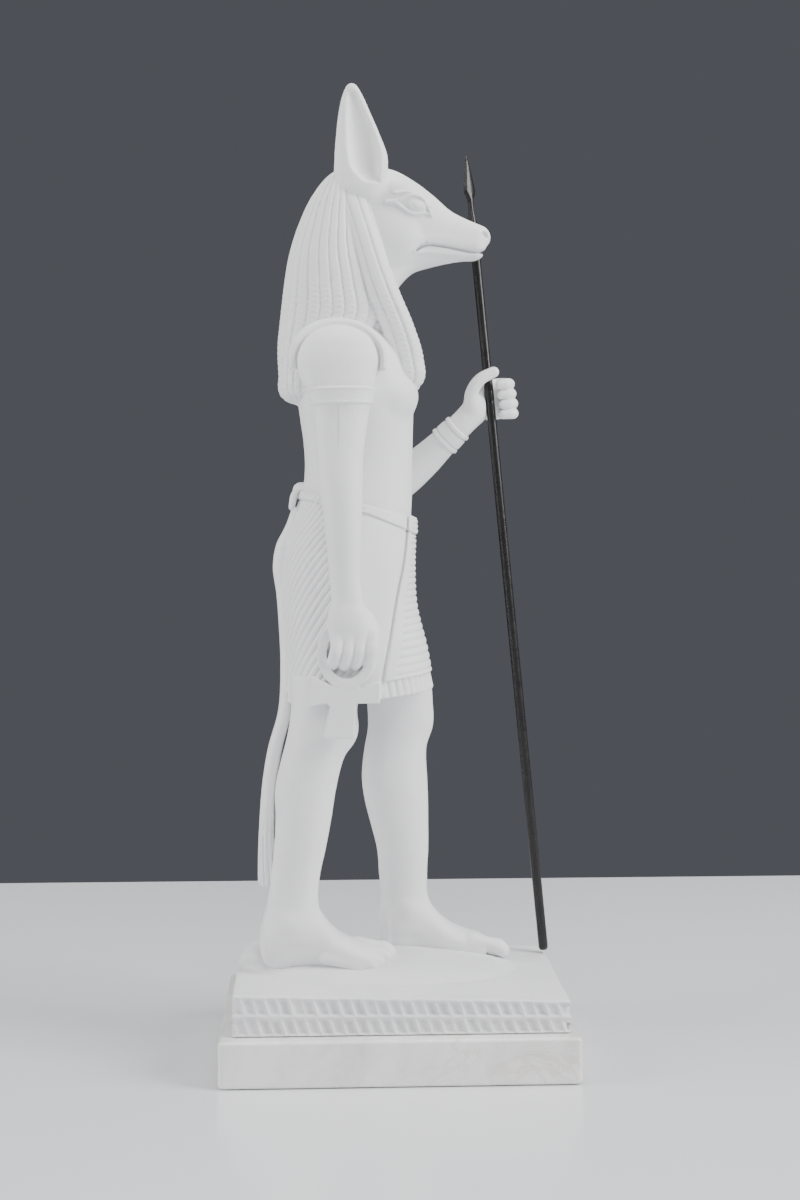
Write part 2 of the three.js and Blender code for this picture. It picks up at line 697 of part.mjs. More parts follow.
function wigSolid() {
  const back = loft(smooth(WIG_ROWS, 7), 2 * WIG.strands, (row, angle, reach, column) => {
    const [z, rear, front, y, half, squareness] = row;
    const swell = strands(column, z, 388);
    const [u, v] = around(angle, (front - rear) / 2 + swell, half + swell, squareness);
    return [(front + rear) / 2 + reach * u, y + reach * v, z];
  });
  const lappet = (side) => {
    return loft(smooth(LAPPET_ROWS, 7), 10, ([z, rear, front, out, half, squareness], angle, reach, column) => {
      const swell = strands(column, z, 380) * 0.7;
      const [u, v] = around(angle, (front - rear) / 2 + swell, half + swell, squareness);
      return [(front + rear) / 2 + reach * u, MIDDLE + side * (out + reach * v), z];
    });
  };
  return join([back, lappet(-1), lappet(1)]);
}

function eyeSolid(side) {
  const y = (out) => MIDDLE + side * out;
  return [
    ball(6.6, y(12.6), 371, 6.4, 1.9, 3, 0.12),
    limb([[-9, y(14.6), 372.8, 0.8, 1.4], [3, y(13.4), 375, 0.9, 1.2], [14.5, y(9.8), 370.4, 0.7, 0.9]], 4, 4),
  ];
}

function headSolid() {
  const skull = lying(HEAD_ROWS, 12, 9);
  const throat = upright(
    [
      [318, -30, -2, MIDDLE, 14, 2.2],
      [334, -30, 0, MIDDLE, 14, 2.2],
      [346, -28, 4, MIDDLE, 13.4, 2.2],
    ],
    12,
    3,
  );
  const nose = ball(39.2, MIDDLE, 363, 4, 4.4, 3.4, 0.2);
  const mouthLine = (side) => {
    const y = (out) => MIDDLE + side * out;
    return limb(
      [[11, y(13.6), 355.6, 0.9, 1.6], [24, y(9.6), 357, 0.9, 1.6], [40, y(5.6), 354.6, 0.9, 1.8], [44, y(3), 354, 0.9, 1.8]],
      4,
      4,
    );
  };
  const eyes = [...eyeSolid(-1), ...eyeSolid(1)];
  return join([skull, throat, nose, ...eyes]).subtract(mouthLine(-1)).subtract(mouthLine(1));
}

const EAR_ROWS = [
  [377, -21, -8, 0, 5.6, 2.2],
  [384, -26, -4.4, 0.4, 6.2, 2.2],
  [393, -26.9, -3.7, 0.8, 5.6, 2.2],
  [403, -26.2, -6.6, 1, 4.6, 2.2],
  [413, -25.2, -11, 0.8, 3.5, 2.2],
  [420, -23.6, -14.6, 0.4, 2.4, 2.1],
  [TOTAL_HEIGHT - 0.6, -21, -17.6, 0, 1.1, 2],
];
const HOLLOW_ROWS = [
  [380.6, -14, -7.6, 0.6, 2.4, 2],
  [386, -20.4, -7, 1.4, 3.8, 2],
  [394, -22.2, -7.4, 1.8, 3.8, 2],
  [404, -22.6, -10, 1.8, 3, 2],
  [413, -22.2, -13.6, 1.4, 2.2, 2],
  [419.6, -21, -17, 0.8, 0.9, 2],
];

// An ear is a pointed shell, hollowed from the side, with a thick rim left along its rear edge.
function earSolid(side) {
  const out = 12.5;
  const laid = (rows, shift) =>
    rows.map(([z, rear, front, bow, half, squareness]) => {
      return [z, rear, front, MIDDLE + side * (out - bow + shift), half, squareness];
    });
  return upright(laid(EAR_ROWS, 0), 9, 7).subtract(upright(laid(HOLLOW_ROWS, 5), 7, 5));
}

// Spear

function spearLine(share) {
  return new THREE.Vector3(...SPEAR.foot).lerp(new THREE.Vector3(...SPEAR.tip), share);
}

// A turned rod with a leaf-shaped head. Rows hold: share of the length, half width, half thickness.
function spearSolid(clearance = 0, stretch = 1) {
  const length = spearLine(0).distanceTo(spearLine(1));
  const neck = 1 - SPEAR.headLength / length;
  const radius = SPEAR.radius + clearance;
  const rows = [
    [0, radius * 0.72, radius * 0.72],
    [0.004, radius, radius],
    [0.5, radius, radius],
    [neck - 0.03, radius * 0.92, radius * 0.92],
    [neck, 1.3, 1.3],
    [neck + 0.01, 1.5, 1.3],
    [neck + 0.02, SPEAR.headWidth / 2, SPEAR.headThickness / 2],
    [neck + 0.035, SPEAR.headWidth / 2 - 0.3, SPEAR.headThickness / 2],
    [neck + 0.052, 1.7, 0.9],
    [1, 0.25, 0.25],
  ];
  const direction = spearLine(1).sub(spearLine(0)).normalize();
  const across = new THREE.Vector3(0, 1, 0);
  const inPlane = new THREE.Vector3().crossVectors(across, direction);
  const headTurn = 0.9;
  return loft(rows, 10, ([share, wide, thick], angle, reach) => {
    const turned = across.clone().applyAxisAngle(direction, headTurn);
    const other = inPlane.clone().applyAxisAngle(direction, headTurn);
    const point = spearLine(share * stretch);
    point.addScaledVector(other, reach * thick * Math.cos(angle));
    point.addScaledVector(turned, reach * wide * Math.sin(angle));
    return point.toArray();
  });
}

// The hole through the fist is the rod with clearance, along the part of its length inside the hand.
function spearHole() {
  const radius = SPEAR.radius + GAP;
  const rows = [0.55, 0.8];
  return loft(rows.map((share) => [share]), 12, ([share], angle, reach) => {
    const point = spearLine(share);
    return [point.x + reach * radius * Math.cos(angle), point.y + reach * radius * Math.sin(angle), point.z];
  });
}

// Scene graph

function mesh(name, made, colour, roughness, metalness) {
  const { vertProperties, triVerts, numVert, numProp } = made.getMesh();
  const points = new Float32Array(numVert * 3);
  for (let i = 0; i < numVert; i++) {
    points.set(vertProperties.subarray(i * numProp, i * numProp + 3), i * 3);
  }
  const geometry = new THREE.BufferGeometry();
  geometry.setAttribute("position", new THREE.BufferAttribute(points, 3));
  geometry.setIndex(new THREE.BufferAttribute(triVerts, 1));
  geometry.computeVertexNormals();
  const piece = new THREE.Mesh(geometry, new THREE.MeshStandardMaterial({ color: colour, roughness, metalness }));
  piece.name = name;
  return piece;
}

const carved = join([
  baseSolid(),
  legsSolid(),
  kiltSolid(),
  underLayerSolid(),
  apronSolid(),
  beltSolid(),
  tailSolid(),
  torsoSolid(),
  armsSolid(),
  collarSolid(),
  bandsSolid(),
  rightHandSolid(),
  ankhSolid(),
  leftHandSolid(),
  wigSolid(),
  headSolid(),
  earSolid(-1),
  earSolid(1),
]).subtract(spearHole());
const figure = withoutShortEdges(carved, 0.08);

const group = new THREE.Group();
group.add(mesh("figure", figure, 0xf2f2f4, 0.75, 0));
group.add(mesh("plinth", plinthSolid(), 0xeeeae4, 0.25, 0));
group.add(mesh("spear", spearSolid(), 0x16140f, 0.3, 0.3));

export default group;
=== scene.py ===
"""Looks of a standing jackal-headed statue: a white cast stone figure on its rough-hewn base, a polished alabaster
plinth and a black metal spear. Shapes are sculpted as distances in millimetres in the part's own frame, then meshed."""

import math
from concurrent.futures import ThreadPoolExecutor

import bpy
import numpy as np
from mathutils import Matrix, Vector


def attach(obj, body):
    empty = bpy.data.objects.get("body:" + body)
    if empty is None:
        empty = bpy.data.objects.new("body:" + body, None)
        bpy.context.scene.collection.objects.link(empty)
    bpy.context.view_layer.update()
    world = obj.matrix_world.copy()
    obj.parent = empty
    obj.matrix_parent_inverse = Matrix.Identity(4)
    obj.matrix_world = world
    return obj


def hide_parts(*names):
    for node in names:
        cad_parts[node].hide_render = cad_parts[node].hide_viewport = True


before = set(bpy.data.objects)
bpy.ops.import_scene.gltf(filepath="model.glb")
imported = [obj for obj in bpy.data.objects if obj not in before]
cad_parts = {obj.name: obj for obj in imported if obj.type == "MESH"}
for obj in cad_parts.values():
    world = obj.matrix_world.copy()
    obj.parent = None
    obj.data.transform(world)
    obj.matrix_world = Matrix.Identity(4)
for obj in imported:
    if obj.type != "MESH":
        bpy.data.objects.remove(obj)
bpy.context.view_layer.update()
MM = 0.001
MIDDLE = 9.0  # the figure's own middle plane across the part
FAR = 1000.0
KEPT = 2.6  # mm from the surface within which the field is looked at closely
CELLS = 4  # cells along a block
BLOCKS = 8  # blocks along a tile
STEPS = 400  # steps of a smoothed table


# Distances


class Samples:
    """Points in mm, and the box that holds them."""

    def __init__(self, x, y, z):
        self.x, self.y, self.z = x, y, z
        self.low = np.array([x.min(), y.min(), z.min()])
        self.high = np.array([x.max(), y.max(), z.max()])


class Form:
    """A shape or a relief: a function of the samples, and the box outside which it has no effect."""

    def __init__(self, low, high, distance):
        self.low, self.high = np.array(low, float), np.array(high, float)
        self.distance = distance

    def reaches(self, p, margin):
        return bool(np.all(self.low - margin <= p.high) and np.all(self.high + margin >= p.low))


def least(a, b, soft):
    """The smaller distance, with the crease between the two rounded over about that many mm."""
    if soft <= 0:
        return np.minimum(a, b)
    shared = np.maximum(soft - np.abs(a - b), 0) / soft
    return np.minimum(a, b) - shared * shared * (soft / 4)


def most(a, b, soft):
    return -least(-a, -b, soft)


def join(*forms, soft=2.0):
    def distance(p):
        total = np.full(p.x.shape, FAR, np.float32)
        for form in forms:
            if form.reaches(p, soft + KEPT):
                total = least(total, form.distance(p), soft)
        return total

    return Form(np.min([f.low for f in forms], axis=0), np.max([f.high for f in forms], axis=0), distance)


def cut(form, *tools, soft=0.6):
    def distance(p):
        total = form.distance(p)
        for tool in tools:
            if tool.reaches(p, soft + KEPT):
                total = most(total, -tool.distance(p), soft)
        return total

    return Form(form.low, form.high, distance)


def raised(form, *reliefs, most_raised=1.5):
    """The form with its surface moved out by the reliefs, which give a height in mm."""

    def distance(p):
        total = form.distance(p)
        for relief in reliefs:
            if relief.reaches(p, 0):
                total = total - relief.distance(p)
        return total

    return Form(form.low - most_raised, form.high + most_raised, distance)


def twin(form):
    """A form given for one side, with y as the distance out from the middle plane, on both sides."""

    def distance(p):
        return form.distance(Samples(p.x, np.abs(p.y - MIDDLE), p.z))

    low, high = form.low.copy(), form.high.copy()
    low[1], high[1] = MIDDLE - form.high[1], MIDDLE + form.high[1]
    return Form(low, high, distance)


class Rows:
    """Smooth values between rows. The first value of a row is its place."""

    def __init__(self, rows):
        rows = np.array(rows, float)
        places, values = rows[:, 0], rows[:, 1:]
        gaps = np.diff(places)
        slopes = np.diff(values, axis=0) / gaps[:, None]
        before, after = gaps[:-1, None], gaps[1:, None]
        inner = (slopes[:-1] * after + slopes[1:] * before) / (before + after)
        tangents = np.vstack([slopes[:1], inner, slopes[-1:]])
        fine = np.linspace(places[0], places[-1], STEPS + 1)
        i = np.clip(np.searchsorted(places, fine, side="right") - 1, 0, len(gaps) - 1)
        gap, t = gaps[i][:, None], ((fine - places[i]) / gaps[i])[:, None]
        table = (2 * t**3 - 3 * t**2 + 1) * values[i] + (3 * t**2 - 2 * t**3) * values[i + 1]
        table += (t**3 - 2 * t**2 + t) * gap * tangents[i] + (t**3 - t**2) * gap * tangents[i + 1]
        self.table = np.ascontiguousarray(table.T, np.float32)
        self.first, self.last = places[0], places[-1]

    def at(self, place):
        step = np.clip((place - self.first) / (self.last - self.first) * STEPS, 0, STEPS - 0.001)
        i = step.astype(np.int32)
        share = (step - i).astype(np.float32)
        return self.table[:, i] * (1 - share) + self.table[:, i + 1] * share


def section(dx, dy, half_x, half_y, squareness):
    """Distance across to a rounded rectangle. Squareness 2 is an ellipse, larger is squarer."""
    u = np.abs(dx) / half_x + 1e-4
    v = np.abs(dy) / half_y + 1e-4
    un, vn = u**squareness, v**squareness
    q = (un + vn) ** (1 / squareness)
    slope = np.hypot(un / (u * half_x), vn / (v * half_y)) * q / (un + vn)
    return (q - 1) / slope


def body(rows, upwards, ends):
    """A form along z or x. Rows hold: place, lower side, upper side, middle across, half width, squareness."""
    table = Rows(rows)
    lean = np.gradient(table.table[[0, 1, 3]], (table.last - table.first) / STEPS, axis=1)
    table.table = np.vstack([table.table, np.sqrt(1 + np.mean(lean**2, axis=0))]).astype(np.float32)
    low = [rows[0][0], table.table[0].min(), (table.table[2] - table.table[3]).min()]
    high = [rows[-1][0], table.table[1].max(), (table.table[2] + table.table[3]).max()]
    order = [1, 2, 0] if upwards else [0, 2, 1]

    def distance(p):
        along, across = (p.z, p.x) if upwards else (p.x, p.z)
        lower, upper, middle, half, squareness, slope = table.at(along)
        side = section(across - (lower + upper) / 2, p.y - middle, (upper - lower) / 2, half, squareness)
        end = np.maximum(table.first - along, along - table.last)
        return most(side / slope, end, ends)

    return Form([low[i] for i in order], [high[i] for i in order], distance)


def upright(rows, ends=3.0):
    return body(rows, True, ends)


def lying(rows, ends=3.0):
    return body(rows, False, ends)


def curve_points(rows, steps):
    """Points along a smooth curve through rows of coordinates and sizes."""
    rows = np.array(rows, float)
    gaps = np.linalg.norm(np.diff(rows[:, :3], axis=0), axis=1)
    places = np.concatenate([[0], np.cumsum(gaps)])
    table = Rows(np.column_stack([places, rows]))
    return table.at(np.linspace(0, places[-1], steps * (len(rows) - 1) + 1)).T


def limb(rows, steps=4):
    """A rounded limb along a curve. Rows hold: x, y, z, half thickness in the curve's plane, half thickness across."""
    points = curve_points(rows, steps)
    reach = points[:, 3:].max()

    def distance(p):
        best = np.full(p.x.shape, FAR, np.float32)
        for a, b in zip(points[:-1], points[1:]):
            along = b[:3] - a[:3]
            length = float(along @ along) + 1e-9
            t = ((p.x - a[0]) * along[0] + (p.y - a[1]) * along[1] + (p.z - a[2]) * along[2]) / length
            t = np.clip(t, 0, 1)
            dx, dy, dz = (d - a[i] - t * along[i] for i, d in enumerate((p.x, p.y, p.z)))
            thick, wide = a[3] + t * (b[3] - a[3]), a[4] + t * (b[4] - a[4])
            across = np.array([0, 1, 0]) - along * (along[1] / length)
            across /= np.linalg.norm(across) + 1e-9
            v2 = (dx * across[0] + dy * across[1] + dz * across[2]) ** 2
            u2 = np.maximum(dx * dx + dy * dy + dz * dz - v2, 0)
            q = np.sqrt(u2 / thick**2 + v2 / wide**2) + 1e-3
            best = np.minimum(best, (q - 1) * q / (np.sqrt(u2 / thick**4 + v2 / wide**4) + 1e-6))
        return best

    return Form(points[:, :3].min(0) - reach, points[:, :3].max(0) + reach, distance)


def ball(centre, radii, turn=0.0):
    """An ellipsoid, turned about Y."""
    cos, sin = math.cos(turn), math.sin(turn)
    reach = max(radii)

    def distance(p):
        dx, dy, dz = p.x - centre[0], p.y - centre[1], p.z - centre[2]
        u, v, w = (dx * cos - dz * sin) / radii[0], dy / radii[1], (dx * sin + dz * cos) / radii[2]
        q = np.sqrt(u * u + v * v + w * w) + 1e-3
        return (q - 1) * q / (np.sqrt((u / radii[0]) ** 2 + (v / radii[1]) ** 2 + (w / radii[2]) ** 2) + 1e-6)

    return Form(np.array(centre) - reach, np.array(centre) + reach, distance)


def polygon(u, v, corners):
    """Distance in a plane to a closed outline."""
    best = np.full(u.shape, FAR, np.float32)
    inside = np.zeros(u.shape, bool)
    for (ax, ay), (bx, by) in zip(corners, corners[1:] + corners[:1]):
        ex, ey = bx - ax, by - ay
        t = np.clip(((u - ax) * ex + (v - ay) * ey) / (ex * ex + ey * ey), 0, 1)
        best = np.minimum(best, np.hypot(u - ax - t * ex, v - ay - t * ey))
        if by != ay:
            crosses = (ay > v) != (by > v)
            inside ^= crosses & (u < ax + (v - ay) * ex / ey)
    return np.where(inside, -best, best)


def slab(corners, middle, thickness, edge=0.8):
    """A flat plate standing in the XZ plane."""
    low = [min(c[0] for c in corners), middle - thickness / 2, min(c[1] for c in corners)]
    high = [max(c[0] for c in corners), middle + thickness / 2, max(c[1] for c in corners)]
    return Form(
        low, high, lambda p: most(polygon(p.x, p.z, corners), np.abs(p.y - middle) - thickness / 2, edge)
    )


def line_distance(u, v, points):
    best = np.full(u.shape, FAR, np.float32)
    for (ax, ay), (bx, by) in zip(points[:-1], points[1:]):
        ex, ey = bx - ax, by - ay
        t = np.clip(((u - ax) * ex + (v - ay) * ey) / (ex * ex + ey * ey + 1e-9), 0, 1)
        best = np.minimum(best, np.hypot(u - ax - t * ex, v - ay - t * ey))
    return best


def stroke(points, width, height, steps=3):
    """A drawn line as relief, seen from the side: points hold x and z."""
    rows = [[x, 0, z] for x, z in points]
    line = [(q[0], q[2]) for q in curve_points([[*r, 1, 1] for r in rows], steps)]
    xs, zs = [q[0] for q in line], [q[1] for q in line]

    def relief(p):
        near = np.clip(1 - (line_distance(p.x, p.z, line) / width) ** 2, 0, 1)
        return height * near * near

    return Form([min(xs) - width, -FAR, min(zs) - width], [max(xs) + width, FAR, max(zs) + width], relief)


def ramp(value, start, end):
    """0 before start, 1 after end, and smooth between them."""
    t = np.clip((value - start) / (end - start), 0, 1)
    return t * t * (3 - 2 * t)


def within(value, low, high, edge):
    """1 between low and high, with soft edges."""
    return ramp(value, low - edge, low + edge) * (1 - ramp(value, high - edge, high + edge))


def cushion(phase, power=4):
    """Strands side by side: 1 along the middle of each and 0 in the groove between two."""
    across = np.abs(2 * (phase - np.floor(phase)) - 1)
    return 1 - across**power


def waves(p, length, seed):
    """A smooth unevenness from -1 to 1, with bumps about that many mm long."""
    total = np.zeros(p.x.shape, np.float32)
    random = np.random.default_rng(seed)
    for _ in range(5):
        direction = random.normal(size=3)
        direction *= 2 * math.pi / length / np.linalg.norm(direction) * random.uniform(0.6, 1.4)
        shift = random.uniform(0, 6.28)
        total += np.sin(p.x * direction[0] + p.y * direction[1] + p.z * direction[2] + shift)
    return total / 5


# Base block


BASE = {"back": -70.5, "front": 72.0, "right": -50.0, "left": 48.0, "bottom": 20.3}
BASE_TOP = [37.8, 33.8]  # at the back edge and at the front edge
GOUGE = {"pitch": 5.1, "lean": 0.5, "depth": 1.25}


def base_top(x):
    share = (x - BASE["back"]) / (BASE["front"] - BASE["back"])
    return BASE_TOP[0] + share * (BASE_TOP[1] - BASE_TOP[0])


def chance(number, seed):
    """A repeatable number from 0 to 1 for each whole number."""
    mixed = np.sin(number * 12.9898 + seed * 78.233) * 43758.5453
    return mixed - np.floor(mixed)


def gouges(along, share, row):
    """Depth of slanted chisel cuts in one row. Share is the height in the row, from 0 to 1."""
    phase = along / GOUGE["pitch"] + GOUGE["lean"] * share + 0.37 * row
    number = np.floor(phase)
    across = 2 * (phase - number) - 1 + 0.25 * (chance(number, row) - 0.5)
    scoop = np.clip(1 - across**2, 0, 1) ** 0.7
    top = 0.88 + 0.12 * chance(number, row + 5)
    ends = ramp(share, 0.0, 0.16) * (1 - ramp(share, top - 0.3, top + 0.02))
    return GOUGE["depth"] * (0.75 + 0.5 * chance(number, row + 9)) * scoop * ends


def base_block():
    middle = [(BASE["front"] + BASE["back"]) / 2, (BASE["left"] + BASE["right"]) / 2]
    half = [(BASE["front"] - BASE["back"]) / 2, (BASE["left"] - BASE["right"]) / 2]

    def distance(p):
        top = base_top(p.x) - 0.2
        dx, dy = np.abs(p.x - middle[0]) - half[0], np.abs(p.y - middle[1]) - half[1]
        along = np.where(dx > dy, p.y, p.x)
        share = (p.z - BASE["bottom"]) / (top - BASE["bottom"])
        lower = gouges(along, share / 0.5, 1) * (share < 0.5)
        upper = gouges(along, (share - 0.5) / 0.5, 2) * (share >= 0.5)
        rough = 0.22 * waves(p, 5.0, 3) + 0.12 * waves(p, 2.2, 4)
        side = most(dx, dy, 1.2) + (lower + upper) * (share < 1.02) - rough * 0.6 + 0.2
        flat = p.z - top - 0.18 * waves(p, 22.0, 5) - 0.05 * waves(p, 4.0, 6)
        return most(most(side, flat, 1.4), BASE["bottom"] - p.z, 0.3)

    low = [BASE["back"] - 1, BASE["right"] - 1, BASE["bottom"]]
    high = [BASE["front"] + 1, BASE["left"] + 1, BASE_TOP[0] + 1]
    mound = ball((-8, MIDDLE, 35.6), (61, 36, 7), 0.035)
    ledge = ball((-62, 14, 39), (7, 12, 6))
    return join(Form(low, high, distance), mound, ledge, soft=3.0)


# Legs and feet


def leg(rows, front_of_knee, side):
    """A leg with its kneecap and the swell of its calf. Side is where its middle plane lies."""
    knee = ball((front_of_knee - 6.4, side, 144), (6.6, 7.4, 8.5))
    return join(upright(rows, 2.0), knee, soft=4.0)


def right_leg():
    rows = [
        [52, -58, -30, -7, 9.5, 2.2],
        [58, -58, -32, -7, 9.5, 2.2],
        [68, -56.5, -34.2, -7, 9.3, 2.1],
        [78, -55, -33.6, -7, 9.5, 2.1],
        [92, -53.4, -30.7, -7, 11, 2.1],
        [105, -52.8, -28.3, -7, 12.2, 2.1],
        [118, -52.9, -26.2, -7, 12.8, 2.1],
        [130, -50.4, -23.2, -7, 12.4, 2.1],
        [141, -47.6, -18.3, -7, 12.2, 2.2],
        [152, -46, -17.1, -7, 12.8, 2.2],
        [168, -46, -14, -7, 14.5, 2.2],
    ]
    return leg(rows, -17.4, -7)


def left_leg():
    rows = [
        [49, -6, 20, 25, 9.5, 2.2],
        [54, -6, 19, 25, 9.5, 2.2],
        [63, -5.5, 16.2, 25, 9.3, 2.1],
        [74, -6.3, 15.8, 25, 9.6, 2.1],
        [85, -7.2, 16.3, 25, 10.6, 2.1],
        [96, -9.9, 16.3, 25, 11.8, 2.1],
        [107, -12.7, 16.2, 25, 12.6, 2.1],
        [118, -14.1, 15.8, 25, 12.8, 2.1],
        [130, -13.1, 15.3, 25, 12.4, 2.1],
        [141, -11.3, 17.1, 25, 12.2, 2.2],
        [150, -11.5, 18.2, 25, 12.8, 2.2],
        [168, -14, 17, 25, 14.5, 2.2],
    ]
    return leg(rows, 17.6, 25)


def toes(tips, heel):
    """Five toes with a knuckle each. A tip holds: x, y, height of its middle, thickness."""
    forms = []
    for tip, y, z, thick in tips:
        root = heel + (y - heel) * 0.86
        rows = [
            [tip - 17, root, z + 3.8, thick, thick],
            [tip - 8.5, y + (root - y) * 0.4, z + 2.0, thick * 0.94, thick * 0.94],
            [tip - 5.2, y + (root - y) * 0.15, z + 1.1, thick * 1.03, thick],
            [tip - thick * 0.9, y, z - 0.3, thick * 0.92, thick * 0.96],
        ]
        nail = ball((tip - thick * 0.95, y, z + thick * 0.42), (thick * 0.72, thick * 0.6, thick * 0.45), 0.5)
        forms.append(join(limb(rows), nail, soft=0.5))
    return join(*forms, soft=0.7)


def feet():
    right = [
        [-60.6, 45, 53, -7, 3.5, 2],
        [-59, 42.5, 58, -7, 7.5, 2.1],
        [-54, 38, 66, -7, 9.6, 2.2],
        [-44, 38, 68, -7, 9.8, 2.3],
        [-34, 38, 63, -7, 10, 2.3],
        [-26, 38, 55, -7.5, 10.8, 2.4],
        [-17, 38, 50.3, -8, 11.6, 2.4],
        [-9, 38, 47.2, -7.5, 11, 2.4],
    ]
    left = [
        [-6.3, 43, 51, 25, 3.5, 2],
        [-4.8, 38, 57, 25, 7.5, 2.1],
        [0, 36, 63, 25, 9.6, 2.2],
        [10, 36, 65, 25, 9.8, 2.3],
        [18, 36, 58, 25, 10, 2.3],
        [26, 35, 50.8, 25.5, 10.8, 2.4],
        [35, 34, 46.6, 26, 11.6, 2.4],
        [43, 34, 44.2, 25.5, 11, 2.4],
    ]
    right_toes = [
        [0.4, 0.8, 43, 3.6],
        [-1.8, -4.6, 42.4, 2.7],
        [-5, -9.4, 41.8, 2.6],
        [-9, -13.6, 41.2, 2.5],
        [-14, -17.2, 40.8, 2.4],
    ]
    left_toes = [
        [53, 17.2, 39.6, 3.6],
        [51, 22.6, 39.6, 2.7],
        [48, 27.4, 39.4, 2.6],
        [44, 31.6, 39.2, 2.5],
        [39, 35.2, 39, 2.4],
    ]
    ankles = [
        ball((-46, -14.2, 59), (4.2, 3.4, 4.6)),
        ball((-44, 0.2, 61), (4.2, 3.4, 4.6)),
        ball((7, 17.8, 58), (4.2, 3.4, 4.6)),
        ball((5, 32.2, 56), (4.2, 3.4, 4.6)),
    ]
    right_foot = join(lying(right, 4.0), toes(right_toes, -8), soft=1.6)
    left_foot = join(lying(left, 4.0), toes(left_toes, 26), soft=1.6)
    return join(right_foot, left_foot, *ankles, soft=2.4)


# Kilt, belt, apron and tail


KILT = {"hem": (154.5, 160.5), "belt": (249.0, 235.5), "back": -47.0, "front": 12.0}
PLEATS = {"pitch": 4.9, "climb": 1.35, "walk": 31.0, "depth": 0.85, "reach": 1.5}
APRON = {"bottom": 167.2, "top": 236.5, "proud": 1.2, "low_rib": 3.7, "high_rib": 2.0}
BELT = {"height": 3.2, "proud": 0.8}


def kilt_heights(x):
    """Height of the hem and of the belt's upper edge at x."""
    forward = (x - KILT["back"]) / (KILT["front"] - KILT["back"])
    hem = KILT["hem"][0] + forward * (KILT["hem"][1] - KILT["hem"][0])
    return hem, KILT["belt"][0] + forward * (KILT["belt"][1] - KILT["belt"][0])


def apron_ribs(x, z):
    """Ribs that lie across the apron, closer together towards the top."""
    share = (z - APRON["bottom"]) / (APRON["top"] - APRON["bottom"])
    slope = APRON["low_rib"] - APRON["high_rib"]
    pitch = np.maximum(APRON["low_rib"] - slope * share, 1.0)
    length = (APRON["top"] - APRON["bottom"]) / slope
    return cushion(-length * np.log(pitch) - 0.035 * x, 3)


def kilt():
    """The wrapped cloth: pleats climb round its rear half to a plain front panel, and a stiff apron hangs before it."""
    rows = [
        [0, -47.6, 17.2, MIDDLE, 34.6, 2.5],
        [0.12, -48.4, 15.4, MIDDLE, 34.4, 2.5],
        [0.25, -49, 13.6, MIDDLE, 34, 2.5],
        [0.5, -50, 9.1, MIDDLE, 33, 2.4],
        [0.75, -48, 8.3, MIDDLE, 31, 2.4],
        [0.9, -44, 8.6, MIDDLE, 28.4, 2.3],
        [1, -41.5, 8.4, MIDDLE, 26.8, 2.3],
    ]
    table = Rows(rows)
    apron_edge = Rows([[150, -8], [166.7, -5.9], [181, -3.3], [201, 0.2], [220.1, 4.1], [235.3, 5.6], [242, 5.8]])
    rib_edge = Rows([[150, -3.2], [168.8, -1], [180.6, 1.4], [200.8, 3.8], [220, 6.6], [235.3, 7.3], [242, 7.5]])

    def distance(p):
        hem, belt = kilt_heights(p.x)
        back, front, middle, half, squareness = table.at((p.z - hem) / (belt - hem))
        dx, dy = p.x - (back + front) / 2, p.y - middle
        side = section(dx, dy, (front - back) / 2, half, squareness)
        from_back = np.abs(np.arctan2(dy / half, -2 * dx / (front - back)))
        walked = PLEATS["walk"] * from_back
        pleats = PLEATS["depth"] * cushion((p.z - PLEATS["climb"] * walked) / PLEATS["pitch"], 2.6)
        plain = ramp(from_back, PLEATS["reach"] - 0.03, PLEATS["reach"] + 0.03)
        height = pleats * (1 - plain) + (PLEATS["depth"] + 0.35) * plain - PLEATS["depth"]
        edge = apron_edge.at(p.z)[0]
        bottom = APRON["bottom"] + 0.12 * (p.x - 4)
        under = cushion(walked / 3.15, 2.4) * 0.7 - 0.5
        under_front = ramp(p.x, edge - 0.3, edge + 0.3) * (1 - ramp(p.z, bottom - 0.3, bottom + 0.3))
        height = height * (1 - under_front) + under * under_front
        apron = ramp(p.x, edge - 0.35, edge + 0.35) * ramp(p.z, bottom - 0.4, bottom + 0.4)
        ribbed = ramp(p.x, rib_edge.at(p.z)[0] - 0.4, rib_edge.at(p.z)[0] + 0.4) * ramp(p.z, bottom, bottom + 2.4)
        ribs = 0.75 * (apron_ribs(p.x, p.z) - 1) * ribbed
        height = height * (1 - apron) + (APRON["proud"] + ribs) * apron
        crease = np.exp(-(((p.x - edge + 0.5) / 0.6) ** 2)) * ramp(p.z, bottom - 4, bottom)
        height = height - 0.8 * crease
        ends = np.maximum(hem - p.z, p.z - belt - 0.6 * apron)
        return most(side - height, ends, 0.9)

    return Form([-52, MIDDLE - 37, 150], [20, MIDDLE + 37, 252], distance)


def belt_band(p):
    """Relief of the belt: a flat band with a sharp groove below it."""
    top = kilt_heights(p.x)[1]
    height = BELT["height"] + 0.17 * np.maximum(p.x + 12, 0)
    band = within(p.z, top - height, top + 0.3, 0.25)
    groove = np.exp(-(((p.z - top + height + 0.5) / 0.5) ** 2))
    return BELT["proud"] * band - 0.5 * groove


def belt_knot():
    """The small knot at the back of the belt, with the tail's root below it."""
    ends = []
    for out in (-1, 1):
        y = MIDDLE + out * 4.5
        path = [[-42.5, MIDDLE, 249.4, 1.7, 2.6], [-44.6, y, 246, 1.6, 2.6], [-45.6, y + out * 4, 241.4, 1.3, 2.3]]
        ends.append(limb(path))
    return join(ball((-41.2, MIDDLE, 249.2), (3.8, 5.4, 3.0)), *ends, soft=0.9)


